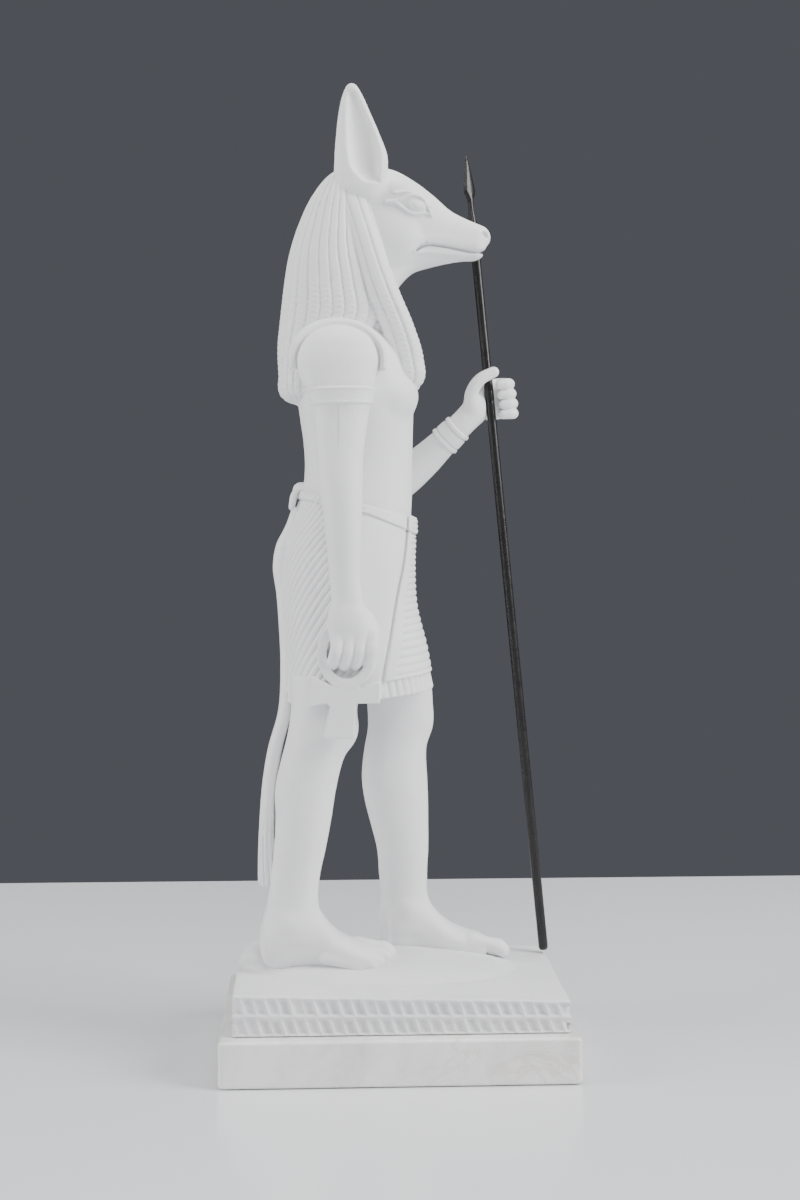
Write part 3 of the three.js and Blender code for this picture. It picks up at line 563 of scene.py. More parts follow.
def tail():
    """A bull's tail that hangs from the belt. Its tuft is fluted and rests on the right calf."""
    rows = [
        [74.5, -60.8, -51, -3, 6.6, 2.4],
        [88, -60.7, -52.6, -2.6, 6, 2.4],
        [104, -60, -53, -1.6, 5, 2.3],
        [120, -58.7, -52.2, 0, 4.6, 2.2],
        [135, -56.2, -49.8, 2, 4.6, 2.2],
        [150, -52, -46, 4, 4.8, 2.2],
        [170, -50.8, -44, 6, 5, 2.2],
        [190, -51.6, -44, 7.6, 5.2, 2.2],
        [203, -52.6, -44, 8.4, 5.3, 2.2],
        [215, -54.1, -45, MIDDLE, 5.4, 2.2],
        [225, -52.4, -44, MIDDLE, 5, 2.2],
        [233, -48.4, -42, MIDDLE, 4.4, 2.2],
        [241, -45.5, -40, MIDDLE, 4, 2.2],
    ]
    form = upright(rows, 1.2)
    middle = Rows([row[:4] for row in rows])

    def flutes(p):
        back, front, across = middle.at(p.z)
        angle = np.arctan2(p.y - across, (p.x - (back + front) / 2) * 1.4)
        return -0.8 * (1 - cushion(angle * 13 / (2 * math.pi), 3)) * (1 - ramp(p.z, 92, 122))

    return raised(form, Form(form.low, form.high, flutes))


# Body and arms


def torso():
    rows = [
        [228, -44, 6.6, MIDDLE, 26, 2.4],
        [238, -42.4, 7.4, MIDDLE, 25.8, 2.4],
        [246, -41.2, 7.8, MIDDLE, 25.2, 2.4],
        [258, -40, 7.9, MIDDLE, 24.6, 2.4],
        [270, -40.6, 8.0, MIDDLE, 26, 2.4],
        [280, -42, 8.2, MIDDLE, 28.6, 2.4],
        [290, -43.2, 8.2, MIDDLE, 31, 2.4],
        [302, -43.6, 6, MIDDLE, 32, 2.4],
        [312, -42, 1, MIDDLE, 30, 2.3],
        [322, -37, -8, MIDDLE, 22, 2.2],
    ]
    chest = twin(ball((-3.2, 13.5, 289.5), (12.8, 14.5, 11.5), 0.1))

    def lines(p):
        out = np.abs(p.y - MIDDLE)
        front = ramp(p.x, -4, 2)
        middle_line = -0.5 * np.exp(-((out / 1.6) ** 2)) * front * within(p.z, 240, 300, 6)
        navel = -1.4 * np.exp(-((out**2 + (p.z - 250) ** 2) / 1.6)) * front
        spine = -1.0 * np.exp(-((out / 3.0) ** 2)) * ramp(-p.x, 30, 36)
        ribs = 0.35 * ramp(p.z, 262, 268) * np.exp(-(((out - 15) / 9) ** 2)) * front
        return middle_line + navel + spine + ribs

    trunk = join(upright(rows, 6.0), chest, soft=2.6)
    return raised(trunk, Form([-50, -30, 234], [14, 48, 320], lines))


def armband(p):
    """Relief of a flat armband with a thin raised edge above and below."""
    z = p.z - 0.02 * (p.x + 24)
    rims = np.exp(-(((z - 290.2) / 0.45) ** 2)) + np.exp(-(((z - 284.4) / 0.45) ** 2))
    return 0.75 * within(z, 283.7, 290.9, 0.2) + 0.35 * rims


def right_arm():
    rows = [
        [188, -30.4, -12, -26.5, 7, 2.3],
        [201, -28.4, -15.2, -26.8, 5.8, 2.2],
        [213, -29.4, -16.1, -27.5, 6.4, 2.1],
        [226, -30.6, -15.8, -28.3, 7.3, 2.1],
        [238, -31.8, -15.4, -29, 8.2, 2.1],
        [250, -33.7, -15.1, -29.4, 8.8, 2.1],
        [262, -34.6, -14.8, -29.2, 8.8, 2.1],
        [275, -35.6, -13.2, -28.8, 9, 2.1],
        [286, -37, -11.4, -28, 9.6, 2.1],
        [296, -41.8, -9.4, -26, 11.2, 2.1],
        [306, -43, -8, -23.4, 12.4, 2.1],
        [313, -39.6, -11, -21.4, 11.4, 2],
        [318.5, -33, -18, -19, 8, 2],
    ]
    return raised(upright(rows, 5.0), Form([-46, -50, 282], [0, 70, 293], armband))


def left_arm():
    upper = [
        [-20, 34, 312, 12, 9],
        [-16, 41, 304, 13, 11],
        [-17, 44, 292, 12, 9.5],
        [-15, 46.4, 272, 10.5, 9],
        [-11, 47, 254, 9.5, 8.6],
        [-8, 46.5, 248, 8.6, 8],
    ]
    fore = [
        [-8, 46.5, 247, 8.6, 8],
        [2, 45.4, 252.5, 8.8, 8.2],
        [14, 43, 262, 7.9, 7.6],
        [25, 39, 272.5, 6.5, 6.6],
        [34, 36, 281.5, 5.9, 6.2],
        [38, 35.5, 285.5, 6.2, 5.4],
    ]
    start, along = np.array([24.3, 39.2, 271.8]), np.array([7.4, -2.6, 7.3])
    along /= np.linalg.norm(along)

    def bracelet(p):
        s = (p.x - start[0]) * along[0] + (p.y - start[1]) * along[1] + (p.z - start[2]) * along[2]
        rims = within(s, 0, 1.9, 0.25) + within(s, 8.0, 9.9, 0.25)
        return 1.0 * rims + 0.75 * within(s, 2.5, 7.4, 0.25)

    band = Form([14, 28, 262], [42, 50, 292], bracelet)
    return join(
        raised(limb(upper, 3), Form([-46, -50, 282], [0, 70, 293], armband)), raised(limb(fore, 4), band), soft=3.0
    )


def collar():
    """The edge of the broad collar lies over the shoulder."""
    rows = []
    for i in range(13):
        angle = math.pi * (-0.06 + 1.12 * i / 12)
        rise = max(0.0, math.sin(angle))
        x, z = -25.5 - 19.5 * math.cos(angle), 303 + 16 * math.sin(angle)
        rows.append([x, 34 - 6 * rise * rise, z, 1.5 + 1.3 * rise, 3.4 + 1.6 * rise])
    return twin(limb(rows, 2))


# Hands


def right_hand():
    """A closed fist with the back of the hand outwards. The fingers turn in under it."""
    fingers = []
    for i in range(4):
        x, z = -27.0 + 4.9 * i, 177.2 + 0.5 * abs(i - 1.2)
        path = [
            [x + 1.6, -29.2, z + 8, 2.6, 2.8],
            [x + 0.6, -31, z + 1.4, 2.8, 2.9],
            [x - 0.6, -29.4, z - 2.6, 2.6, 2.6],
            [x - 0.8, -24.5, z - 4.2, 2.5, 2.5],
            [x - 0.4, -20, z - 2.6, 2.4, 2.4],
            [x, -19.5, z + 1.4, 2.2, 2.2],
        ]
        fingers.append(limb(path, 3))
    palm = [
        [176, -28.5, -10, -24.8, 5.2, 2.6],
        [184, -29.6, -9.4, -26.2, 6.2, 2.5],
        [191, -30.4, -11.2, -26.6, 6.4, 2.4],
        [199, -28.8, -14.8, -26.8, 6, 2.2],
    ]
    thumb = [[-13.6, -24, 193, 3, 3], [-9.6, -21, 185, 2.9, 3], [-11, -18.6, 178, 2.7, 2.8], [-15, -18, 175, 2.3, 2.4]]
    core = ball((-20.5, -24, 177.6), (9.8, 4.4, 5.6))
    back = join(upright(palm, 3.0), core, limb(thumb, 3), soft=2.6)
    return join(back, join(*fingers, soft=0.5), soft=1.4)


ANKH = {"y": -27.0, "thickness": 4.6}


def ankh():
    """A flat ankh: a loop held in the fist, flared arms and a flared stem."""
    y, thickness = ANKH["y"], ANKH["thickness"]
    cross = [
        (-36.9, 169.0), (-26.6, 163.9), (-24.4, 166.8), (-18.4, 166.8), (-16.6, 163.6), (-7.6, 166.3), (-7.8, 157.0),
        (-18.2, 157.0), (-18.0, 155.0), (-18.9, 141.8), (-32.1, 142.2), (-29.0, 155.6), (-31.0, 157.4), (-38.0, 155.7),
    ]
    centre, outer, inner = (-22.0, 178.4), (12.6, 15.2), (8.4, 10.8)

    def loop(p):
        dx, dz = p.x - centre[0], p.z - centre[1]
        ring = np.maximum(section(dx, dz, *outer, 2.0), -section(dx, dz, *inner, 2.0))
        return most(ring, np.abs(p.y - y) - thickness / 2, 0.6)

    low = [centre[0] - outer[0], y - thickness / 2, centre[1] - outer[1]]
    high = [centre[0] + outer[0], y + thickness / 2, centre[1] + outer[1]]
    return join(slab(cross, y, thickness, 0.7), Form(low, high, loop), soft=0.8)


def left_hand():
    """A fist round the spear: fingers round its far side and front, thumb over it from behind."""
    fingers = []
    for i in range(4):
        x, z = 45.2 + 0.8 * i, 299 - 4.5 * i
        short = -0.6 if i == 3 else 0.0
        path = [
            [x - 2, 41, z - 1, 2.6, 2.6],
            [x + 5 + short, 41.5, z, 2.6, 2.6],
            [x + 9.2 + short, 37, z - 0.4, 2.6, 2.6],
            [x + 7.4 + short, 32, z - 1, 2.4, 2.4],
            [x + 4.4 + short, 31.6, z - 1.4, 2.1, 2.2],
        ]
        fingers.append(limb(path, 4))
    palm = ball((43, 39.5, 292), (8.4, 4.6, 9.5), 0.2)
    heel = ball((38.5, 35, 287.5), (5.2, 5.4, 6.4), 0.5)
    thumb = limb(
        [[36.5, 32.5, 287, 3.4, 3.2], [36.6, 30.6, 294, 3, 3], [40.4, 29.6, 300, 2.8, 2.8], [46.6, 30.4, 303.4, 2.5, 2.6]]
    )
    return join(join(*fingers, soft=0.5), join(palm, heel, thumb, soft=2.6), soft=1.0)


# Wig, head and ears


WIG_ROWS = [
    [286.3, -46.5, -30, MIDDLE, 15, 2.4],
    [290, -50.2, -24, MIDDLE, 19, 2.6],
    [300, -51.4, -20, MIDDLE, 21.5, 2.8],
    [312, -51.8, -8, MIDDLE, 23, 2.8],
    [324, -50.6, 0, MIDDLE, 23.6, 2.7],
    [338, -49, -3, MIDDLE, 23.4, 2.6],
    [352, -46.6, -8, MIDDLE, 22.6, 2.5],
    [366, -42.2, -11, MIDDLE, 20.6, 2.3],
    [378, -36.4, -14, MIDDLE, 17.6, 2.2],
    [386, -30.2, -17, MIDDLE, 13, 2.1],
    [391, -24, -20, MIDDLE, 6, 2],
]
LAPPET_ROWS = [
    [291.6, 1.6, 9.6, 13, 4, 2.4],
    [296, -1, 12.4, 13.2, 7.2, 2.6],
    [306, -3.6, 12.2, 13.6, 8.2, 2.8],
    [320, -8, 8.0, 14.2, 9, 2.8],
    [334, -14, 2, 14.8, 9.4, 2.6],
    [348, -18, -3.6, 14.6, 8.8, 2.5],
    [362, -22, -8, 13.4, 8, 2.4],
    [376, -26, -12.4, 10.6, 7, 2.3],
    [386, -26, -16, 6, 5.6, 2.2],
]
STRANDS = {"count": 30, "depth": 0.8, "notch": 2.3}


def strand_relief(phase, z, notched):
    """Long flat strands with sharp grooves, and small slanted notches where the hair is crimped."""
    flat = STRANDS["depth"] * (cushion(phase, 5) - 1)
    across = phase - np.floor(phase)
    crimp = cushion(z / STRANDS["notch"] + 0.8 * np.abs(across - 0.5), 2) - 1
    return flat + 0.3 * notched * crimp


def wig():
    """Heavy hair in strands that fall from the crown, with a lappet over each side of the chest."""
    back, lappet = Rows(WIG_ROWS), Rows(LAPPET_ROWS)

    def back_strands(p):
        rear, front, _, half, _ = back.at(p.z)
        angle = np.arctan2((p.y - MIDDLE) / half, (p.x - (rear + front) / 2) * 2 / (front - rear))
        notched = 1 - ramp(p.z, 330, 352)
        return strand_relief(angle * STRANDS["count"] / (2 * math.pi), p.z, notched) * (1 - ramp(p.z, 382, 390))

    def lappet_strands(p):
        rear, front, out, half, _ = lappet.at(p.z)
        angle = np.arctan2((p.y - out) / half, (p.x - (rear + front) / 2) * 2 / (front - rear))
        notched = 1 - ramp(p.z, 326, 346)
        return strand_relief(angle * 9 / (2 * math.pi) + 0.2, p.z, notched) * (1 - ramp(p.z, 376, 384))

    shell, fall = upright(WIG_ROWS, 4.0), upright(LAPPET_ROWS, 4.0)
    shell = raised(shell, Form(shell.low, shell.high, back_strands))
    fall = raised(fall, Form(fall.low, fall.high, lappet_strands))
    return join(shell, twin(fall), soft=0.8)


EYE = {"x": 9.2, "z": 372.3}


def head():
    rows = [
        [-24, 348, 388, MIDDLE, 14, 2.2],
        [-16, 344, 391, MIDDLE, 15, 2.2],
        [-8, 341, 391.4, MIDDLE, 15.4, 2.2],
        [1, 341.2, 389.4, MIDDLE, 15, 2.2],
        [9, 345.4, 385, MIDDLE, 13.4, 2.2],
        [17, 347.8, 379.2, MIDDLE, 11, 2.2],
        [25, 349.6, 372.4, MIDDLE, 8.8, 2.2],
        [32, 350.7, 368.8, MIDDLE, 7.4, 2.3],
        [38, 352, 366.4, MIDDLE, 6.2, 2.3],
        [41.4, 356, 365, MIDDLE, 4, 2.2],
    ]
    throat = [
        [318, -30, -2, MIDDLE, 14, 2.2],
        [334, -30, 0, MIDDLE, 14, 2.2],
        [346, -28, 4, MIDDLE, 13.4, 2.2],
    ]
    brow = [(-0.3, 377.3), (3.5, 377.8), (7.8, 377.6), (11.5, 376.5), (14.0, 374.6), (15.7, 372.6)]
    upper = [(-4.2, 373.7), (1.3, 374.2), (5.6, 376.3), (8.9, 376.4), (12.2, 374.9), (14.2, 372.2), (15.8, 368.6)]
    lower = [(-4.2, 373.0), (0.5, 372.8), (3.5, 370.6), (6.4, 368.9), (9.3, 368.5), (12.9, 369.1), (15.8, 368.6)]
    mouth = [(9.3, 353.3), (10.9, 354.7), (13.8, 355.7), (18.9, 355.8), (24.8, 355.2), (31.4, 354.2), (37.3, 353.9), (41, 354.9)]
    lip = [(8.7, 352.3), (13.1, 352.6), (20.4, 352.6), (27.8, 352.1), (35.1, 351.6), (39, 352.6)]
    muzzle = [(12, 357.6), (20, 358.6), (28, 357.4), (36, 356.6)]

    def eyeball(p):
        u, v = (p.x - EYE["x"]) / 4.9, (p.z - EYE["z"]) / 2.6
        lens = np.clip(1 - u * u - v * v, 0, 1)
        pupil = np.hypot(p.x - EYE["x"] + 0.2, p.z - EYE["z"])
        ring = np.exp(-(((pupil - 1.7) / 0.35) ** 2))
        return 1.25 * lens - 0.3 * ring * (lens > 0.1)

    eye = Form([3, -FAR, 368], [15, FAR, 377], eyeball)
    reliefs = [
        stroke(brow, 1.15, 0.75),
        stroke(upper, 0.95, 1.0),
        stroke(lower, 0.95, 0.9),
        eye,
        stroke(mouth, 1.0, -2.0),
        stroke(lip, 1.5, 0.6),
        stroke(muzzle, 3.4, 0.35),
    ]
    skull = join(lying(rows, 3.0), upright(throat, 4.0), soft=6.0)
    cheek = twin(ball((-2, 12.2, 358), (11, 4.4, 9.5), 0.3))
    brow_bone = twin(ball((4, 11.0, 376), (9, 3.6, 6.0), 0.35))
    nose = ball((39.4, MIDDLE, 361.2), (3.4, 4.4, 4.2), -0.2)
    nostril = twin(ball((40.2, 4.0, 361.4), (2.2, 1.5, 1.2), 0.6))
    shaped = join(skull, cheek, brow_bone, soft=5.0)
    shaped = raised(shaped, *reliefs)
    return cut(join(shaped, nose, soft=1.2), nostril, soft=0.6)


def ear():
    """A pointed shell, hollowed from the side, with a rolled rim that turns under at its foot."""
    shell = [
        [374.5, -19, -9, 12.8, 4.6, 2.1],
        [377.6, -24, -6, 12.8, 6, 2.1],
        [384, -26.2, -4.0, 12.6, 6.6, 2.1],
        [393, -26.5, -3.4, 12.2, 6.0, 2.1],
        [403, -25.8, -6.8, 11.8, 4.8, 2.1],
        [413, -24.6, -11.2, 11.8, 3.7, 2.1],
        [420, -23.0, -14.4, 12, 2.6, 2.1],
        [425, -20.8, -17.4, 12.4, 1.6, 2],
    ]
    hollow = [
        [381.6, -13.6, -7.0, 19.6, 3.6, 2],
        [386, -18.0, -6.6, 18.8, 5.0, 2],
        [394, -20.4, -6.8, 17.6, 4.8, 2],
        [404, -21.2, -9.2, 16.4, 3.8, 2],
        [413, -21.4, -13.2, 15.6, 2.8, 2],
        [421, -20.8, -17.6, 14.6, 1.6, 2],
    ]
    fold = limb(
        [
            [-19.9, 15.6, 418, 0.9, 0.9],
            [-18.2, 15.4, 404, 1.2, 1.2],
            [-15.0, 16.0, 393, 1.5, 1.6],
            [-10.8, 17.0, 385.6, 1.5, 1.6],
            [-7.8, 17.2, 382.4, 1.0, 1.2],
        ]
    )
    opened = cut(upright(shell, 2.0), upright(hollow, 1.5), soft=1.4)
    return twin(cut(opened, fold, soft=0.8))


# Meshing


def cell_keys(cells):
    return (cells[:, 0] << 42) | (cells[:, 1] << 21) | cells[:, 2]


def tile_surface(form, low, cell, tile):
    """Points and faces of the surface in one tile: a point in each cell it crosses, a face round each edge it cuts."""
    block = CELLS * cell
    numbers = np.arange(BLOCKS)
    blocks = np.stack(np.meshgrid(numbers, numbers, numbers, indexing="ij"), -1).reshape(-1, 3)
    blocks = blocks + np.array(tile) * BLOCKS
    middles = (low + (blocks + 0.5) * block).astype(np.float32)
    near = np.abs(form.distance(Samples(*middles.T))) < 0.87 * block + 1.2
    blocks = blocks[near]
    if not len(blocks):
        return None
    steps = np.arange(CELLS + 1)
    corners = np.stack(np.meshgrid(steps, steps, steps, indexing="ij"), -1).reshape(-1, 3)
    lattice = blocks[:, None, :] * CELLS + corners
    places = (low + lattice * cell).astype(np.float32)
    shape = (len(blocks), CELLS + 1, CELLS + 1, CELLS + 1)
    values = form.distance(Samples(places[..., 0], places[..., 1], places[..., 2])).reshape(shape)
    inside = (values < 0).astype(np.int8)
    offsets = [(i, j, k) for i in (0, 1) for j in (0, 1) for k in (0, 1)]
    count = sum(inside[:, i : i + CELLS, j : j + CELLS, k : k + CELLS] for i, j, k in offsets)
    at = np.argwhere((count > 0) & (count < 8))
    if not len(at):
        return None
    cells = blocks[at[:, 0]] * CELLS + at[:, 1:]
    value = {o: values[at[:, 0], at[:, 1] + o[0], at[:, 2] + o[1], at[:, 3] + o[2]] for o in offsets}
    total, crossings = np.zeros((len(at), 3)), np.zeros(len(at))
    faces = []
    for axis in range(3):
        step = tuple(int(i == axis) for i in range(3))
        for o in offsets:
            if o[axis]:
                continue
            other = tuple(a + b for a, b in zip(o, step))
            crossed = (value[o] < 0) != (value[other] < 0)
            share = np.where(crossed, value[o] / (value[o] - value[other] + 1e-12 * ~crossed), 0)
            total += crossed[:, None] * (np.array(o) + share[:, None] * np.array(step))
            crossings += crossed
        crossed = (value[(0, 0, 0)] < 0) != (value[step] < 0)
        b, c = np.eye(3, dtype=int)[(axis + 1) % 3], np.eye(3, dtype=int)[(axis + 2) % 3]
        around = [cells - b - c, cells - c, cells, cells - b]
        quads = np.stack([cell_keys(corner) for corner in around], axis=1)[crossed]
        outwards = (value[(0, 0, 0)] < 0)[crossed]
        faces.append(np.where(outwards[:, None], quads, quads[:, ::-1]))
    points = low + (cells + total / crossings[:, None]) * cell
    return cell_keys(cells), points, np.concatenate(faces)


def surface(form, cell):
    """The whole surface as points in mm and four-cornered faces."""
    low = form.low - 3 * cell
    tile_size = cell * CELLS * BLOCKS
    counts = np.ceil((form.high + 3 * cell - low) / tile_size).astype(int)
    tiles = [(i, j, k) for i in range(counts[0]) for j in range(counts[1]) for k in range(counts[2])]
    with ThreadPoolExecutor(4) as pool:
        found = [f for f in pool.map(lambda tile: tile_surface(form, low, cell, tile), tiles) if f]
    keys, points, faces = (np.concatenate([f[i] for f in found]) for i in range(3))
    order = np.argsort(keys)
    keys, points = keys[order], points[order]
    corners = np.minimum(np.searchsorted(keys, faces), len(keys) - 1)
    whole = np.all(keys[corners] == faces, axis=1)
    if not whole.all():
        print("faces left out:", int((~whole).sum()))
    return points, corners[whole]


def field_at(form, points, steps):
    """The form's distances at points moved by each step, in tiles, so that far parts are passed over."""
    tile = np.floor(points / 16.0).astype(int) + 64
    order = np.lexsort(tile.T)
    cuts = np.flatnonzero(np.any(np.diff(tile[order], axis=0), axis=1)) + 1
    groups = np.split(order, cuts)
    values = np.zeros((len(steps), len(points)), np.float32)

    def fill(group):
        moved = (points[group][None] + np.array(steps)[:, None]).astype(np.float32)
        values[:, group] = form.distance(Samples(moved[..., 0], moved[..., 1], moved[..., 2]))

    with ThreadPoolExecutor(4) as pool:
        list(pool.map(fill, groups))
    return values


def sculpted(name, form, cell, triangles):
    """A mesh object of the form, thinned to the triangles given, with true normals and its hollows marked for the
    painted shade in the stone's colour.
    """
    points, faces = surface(form, cell)
    mesh = bpy.data.meshes.new(name)
    mesh.vertices.add(len(points))
    mesh.vertices.foreach_set("co", (points * MM).astype(np.float32).ravel())
    mesh.loops.add(faces.size)
    mesh.loops.foreach_set("vertex_index", faces.ravel().astype(np.int32))
    mesh.polygons.add(len(faces))
    mesh.polygons.foreach_set("loop_start", np.arange(0, faces.size, 4, dtype=np.int32))
    mesh.update(calc_edges=True)
    piece = bpy.data.objects.new(name, mesh)
    bpy.context.scene.collection.objects.link(piece)
    if 2 * len(faces) > triangles:
        thinner = piece.modifiers.new("Thinner", "DECIMATE")
        thinner.ratio = triangles / (2 * len(faces))
        depsgraph = bpy.context.evaluated_depsgraph_get()
        piece.data = bpy.data.meshes.new_from_object(piece.evaluated_get(depsgraph))
        piece.modifiers.clear()
        bpy.data.meshes.remove(mesh)
        piece.data.name = name
    mesh = piece.data
    places = np.zeros(len(mesh.vertices) * 3, np.float32)
    mesh.vertices.foreach_get("co", places)
    places = places.reshape(-1, 3) / MM
    axes = np.vstack([np.eye(3), -np.eye(3)])
    close = field_at(form, places, axes * 0.3)
    wide = field_at(form, places, np.vstack([axes * 1.2, np.zeros((1, 3))]))
    normals = (close[:3] - close[3:]).T
    normals /= np.linalg.norm(normals, axis=1)[:, None] + 1e-9
    mesh.polygons.foreach_set("use_smooth", np.ones(len(mesh.polygons), bool))
    mesh.normals_split_custom_set_from_vertices(normals.astype(np.float64).tolist())
    # How hollow each point is; the stone material darkens these places as painted shade.
    hollow = np.clip(-(wide[:6].mean(axis=0) - wide[6]) / 0.5, -1, 1)
    marks = mesh.attributes.new("hollow", "FLOAT", "POINT")
    marks.data.foreach_set("value", hollow.astype(np.float32))
    return piece


# Plinth and spear


PLINTH = {"length": 152.0, "width": 113.0, "height": 20.0, "corner": 3.0, "edge": 1.6}


def plinth_block():
    half_x, half_y, half_z = PLINTH["length"] / 2, PLINTH["width"] / 2, PLINTH["height"] / 2

    def distance(p):
        dx, dy, dz = np.abs(p.x) - half_x, np.abs(p.y) - half_y, np.abs(p.z - half_z) - half_z
        side = most(dx, dy, PLINTH["corner"])
        return most(side, dz, PLINTH["edge"]) - 0.04 * waves(p, 30.0, 8) + 0.05

    return Form([-half_x, -half_y, 0], [half_x, half_y, PLINTH["height"]], distance)


SPEAR = {"foot": (71.0, 34.0, 35.2), "tip": (34.1, 34.0, 402.6), "radius": 2.2, "head": 24.0, "turn": 0.9}


def spear():
    """A turned rod with a small leaf-shaped head, slightly uneven as hand-forged work is."""
    foot, tip = np.array(SPEAR["foot"]), np.array(SPEAR["tip"])
    length = np.linalg.norm(tip - foot)
    along = (tip - foot) / length
    across = np.array([0.0, 1.0, 0.0])
    flat = np.cross(across, along)
    cos, sin = math.cos(SPEAR["turn"]), math.sin(SPEAR["turn"])
    wide_way, thick_way = across * cos + flat * sin, flat * cos - across * sin
    neck, radius = length - SPEAR["head"], SPEAR["radius"]
    rows = [[0, radius * 0.72, radius * 0.72], [0.9, radius * 0.97, radius * 0.97]]
    for i in range(60):
        place = 2 + (neck - 16) * i / 59
        size = radius * (1 - 0.004 * (i % 3)) * (1 - 0.06 * i / 59)
        rows.append([place, size, size])
    rows += [
        [neck - 6, radius * 0.86, radius * 0.86],
        [neck - 2, 1.35, 1.35],
        [neck + 1.5, 1.3, 1.2],
        [neck + 4, 1.6, 1.25],
        [neck + 6.6, 3.3, 1.2],
        [neck + 8, 3.5, 1.15],
        [neck + 11, 3.0, 1.05],
        [neck + 16, 2.1, 0.85],
        [neck + 21, 1.0, 0.55],
        [length, 0.2, 0.2],
    ]
    sides = 28
    points, faces = [], []
    for place, wide, thick in rows:
        for j in range(sides):
            angle = 2 * math.pi * j / sides
            point = foot + along * place + wide_way * wide * math.cos(angle) + thick_way * thick * math.sin(angle)
            points.append(point * MM)
    for i in range(len(rows) - 1):
        for j in range(sides):
            k = (j + 1) % sides
            faces.append((i * sides + j, i * sides + k, (i + 1) * sides + k, (i + 1) * sides + j))
    faces.append(tuple(range(sides))[::-1])
    faces.append(tuple(range((len(rows) - 1) * sides, len(rows) * sides)))
    mesh = bpy.data.meshes.new("spear_rod")
    mesh.from_pydata(points, [], faces)
    mesh.update()
    mesh.polygons.foreach_set("use_smooth", np.ones(len(mesh.polygons), bool))
    piece = bpy.data.objects.new("spear_rod", mesh)
    bpy.context.scene.collection.objects.link(piece)
    return piece


def spear_hole():
    foot, tip = np.array(SPEAR["foot"]), np.array(SPEAR["tip"])
    radius = SPEAR["radius"] + 0.3
    low, high = foot + (tip - foot) * 0.5, foot + (tip - foot) * 0.86
    return limb([[*low, radius, radius], [*((low + high) / 2), radius, radius], [*high, radius, radius]], 1)


def figure():
    legs = join(right_leg(), left_leg(), soft=1.0)
    cloth = raised(kilt(), Form([-52, MIDDLE - 40, 225], [20, MIDDLE + 40, 256], belt_band))
    trunk = join(torso(), right_arm(), left_arm(), soft=2.5)
    lower = join(join(legs, feet(), soft=3.0), cloth, tail(), belt_knot(), soft=0.7)
    upper = join(lower, trunk, soft=0.6)
    hands = join(join(right_hand(), ankh(), soft=0.4), left_hand(), soft=0.6)
    carved = join(upper, hands, collar(), soft=1.0)
    crown = join(head(), ear(), soft=2.4)
    return cut(join(carved, wig(), crown, soft=0.8), spear_hole(), soft=0.3)


# Materials


class Nodes:
    """A material's node tree, with short calls to add nodes and join them."""

    def __init__(self, name):
        self.material = bpy.data.materials.new(name)
        self.material.use_nodes = True
        self.tree = self.material.node_tree
        self.shader = self.tree.nodes["Principled BSDF"]

    def add(self, kind, values=None, **settings):
        node = self.tree.nodes.new(kind)
        for key, value in settings.items():
            setattr(node, key, value)
        for key, value in (values or {}).items():
            if isinstance(value, bpy.types.NodeSocket):
                self.tree.links.new(value, node.inputs[key])
            else:
                node.inputs[key].default_value = value
        return node

    def place(self):
        return self.add("ShaderNodeTexCoord").outputs["Object"]

    def noise(self, place, scale, detail=4.0, rough=0.55, distortion=0.0):
        values = {"Vector": place, "Scale": scale, "Detail": detail, "Roughness": rough, "Distortion": distortion}
        return self.add("ShaderNodeTexNoise", values).outputs["Fac"]

    def ramp(self, factor, *stops):
        node = self.add("ShaderNodeValToRGB", {"Fac": factor})
        elements = node.color_ramp.elements
        while len(elements) < len(stops):
            elements.new(0.5)
        for element, (place, colour) in zip(elements, stops):
            element.position = place
            element.color = (*colour, 1) if len(colour) == 3 else colour
        return node.outputs["Color"]

    def math(self, operation, a, b):
        return self.add("ShaderNodeMath", {0: a, 1: b}, operation=operation).outputs[0]

    def mix(self, factor, a, b, blend="MIX"):
        node = self.add("ShaderNodeMix", data_type="RGBA", blend_type=blend)
        for socket, value in ((node.inputs["Factor"], factor), (node.inputs[6], a), (node.inputs[7], b)):
            if isinstance(value, bpy.types.NodeSocket):
                self.tree.links.new(value, socket)
            else:
                socket.default_value = (*value, 1) if isinstance(value, tuple) else value
        return node.outputs[2]

    def bump(self, height, strength, distance, normal=None):
        values = {"Height": height, "Strength": strength, "Distance": distance}
        if normal:
            values["Normal"] = normal
        return self.add("ShaderNodeBump", values).outputs["Normal"]

    def set(self, **inputs):
        for key, value in inputs.items():
            socket = self.shader.inputs[key.replace("_", " ")]
            if isinstance(value, bpy.types.NodeSocket):
                self.tree.links.new(value, socket)
            else:
                socket.default_value = value


def cast_stone(name, light, dark, grain):
    """Matte cast stone: a fine sugary grain, faint clouds in its white, and painted shade that greys its hollows."""
    nodes = Nodes(name)
    place = nodes.place()
    clouds = nodes.noise(place, 38.0, 5.0, 0.6)
    white = nodes.ramp(clouds, (0.3, dark), (0.7, light))
    # Painted shade: the white is darkened where the surface is hollow, standing in for the shade that falls in creases
    # and recesses.
    hollow = nodes.add("ShaderNodeAttribute", attribute_name="hollow").outputs["Fac"]
    painted_hollow_shade = nodes.ramp(hollow, (0.0, (1.0, 1.0, 1.0)), (0.9, (0.86, 0.86, 0.87)))
    fine = nodes.noise(place, 1500.0, 3.0, 0.6)
    soft = nodes.noise(place, 260.0, 4.0, 0.6)
    normal = nodes.bump(soft, 0.22 * grain, 0.0004)
    normal = nodes.bump(fine, 0.3 * grain, 0.00012, normal)
    rough = nodes.ramp(soft, (0.2, (0.5, 0.5, 0.5)), (0.8, (0.64, 0.64, 0.64)))
    nodes.set(Base_Color=nodes.mix(1.0, white, painted_hollow_shade, "MULTIPLY"), Roughness=rough, Normal=normal)
    nodes.set(Subsurface_Weight=0.12, Subsurface_Radius=(0.0012, 0.0011, 0.001), Specular_IOR_Level=0.35)
    return nodes.material


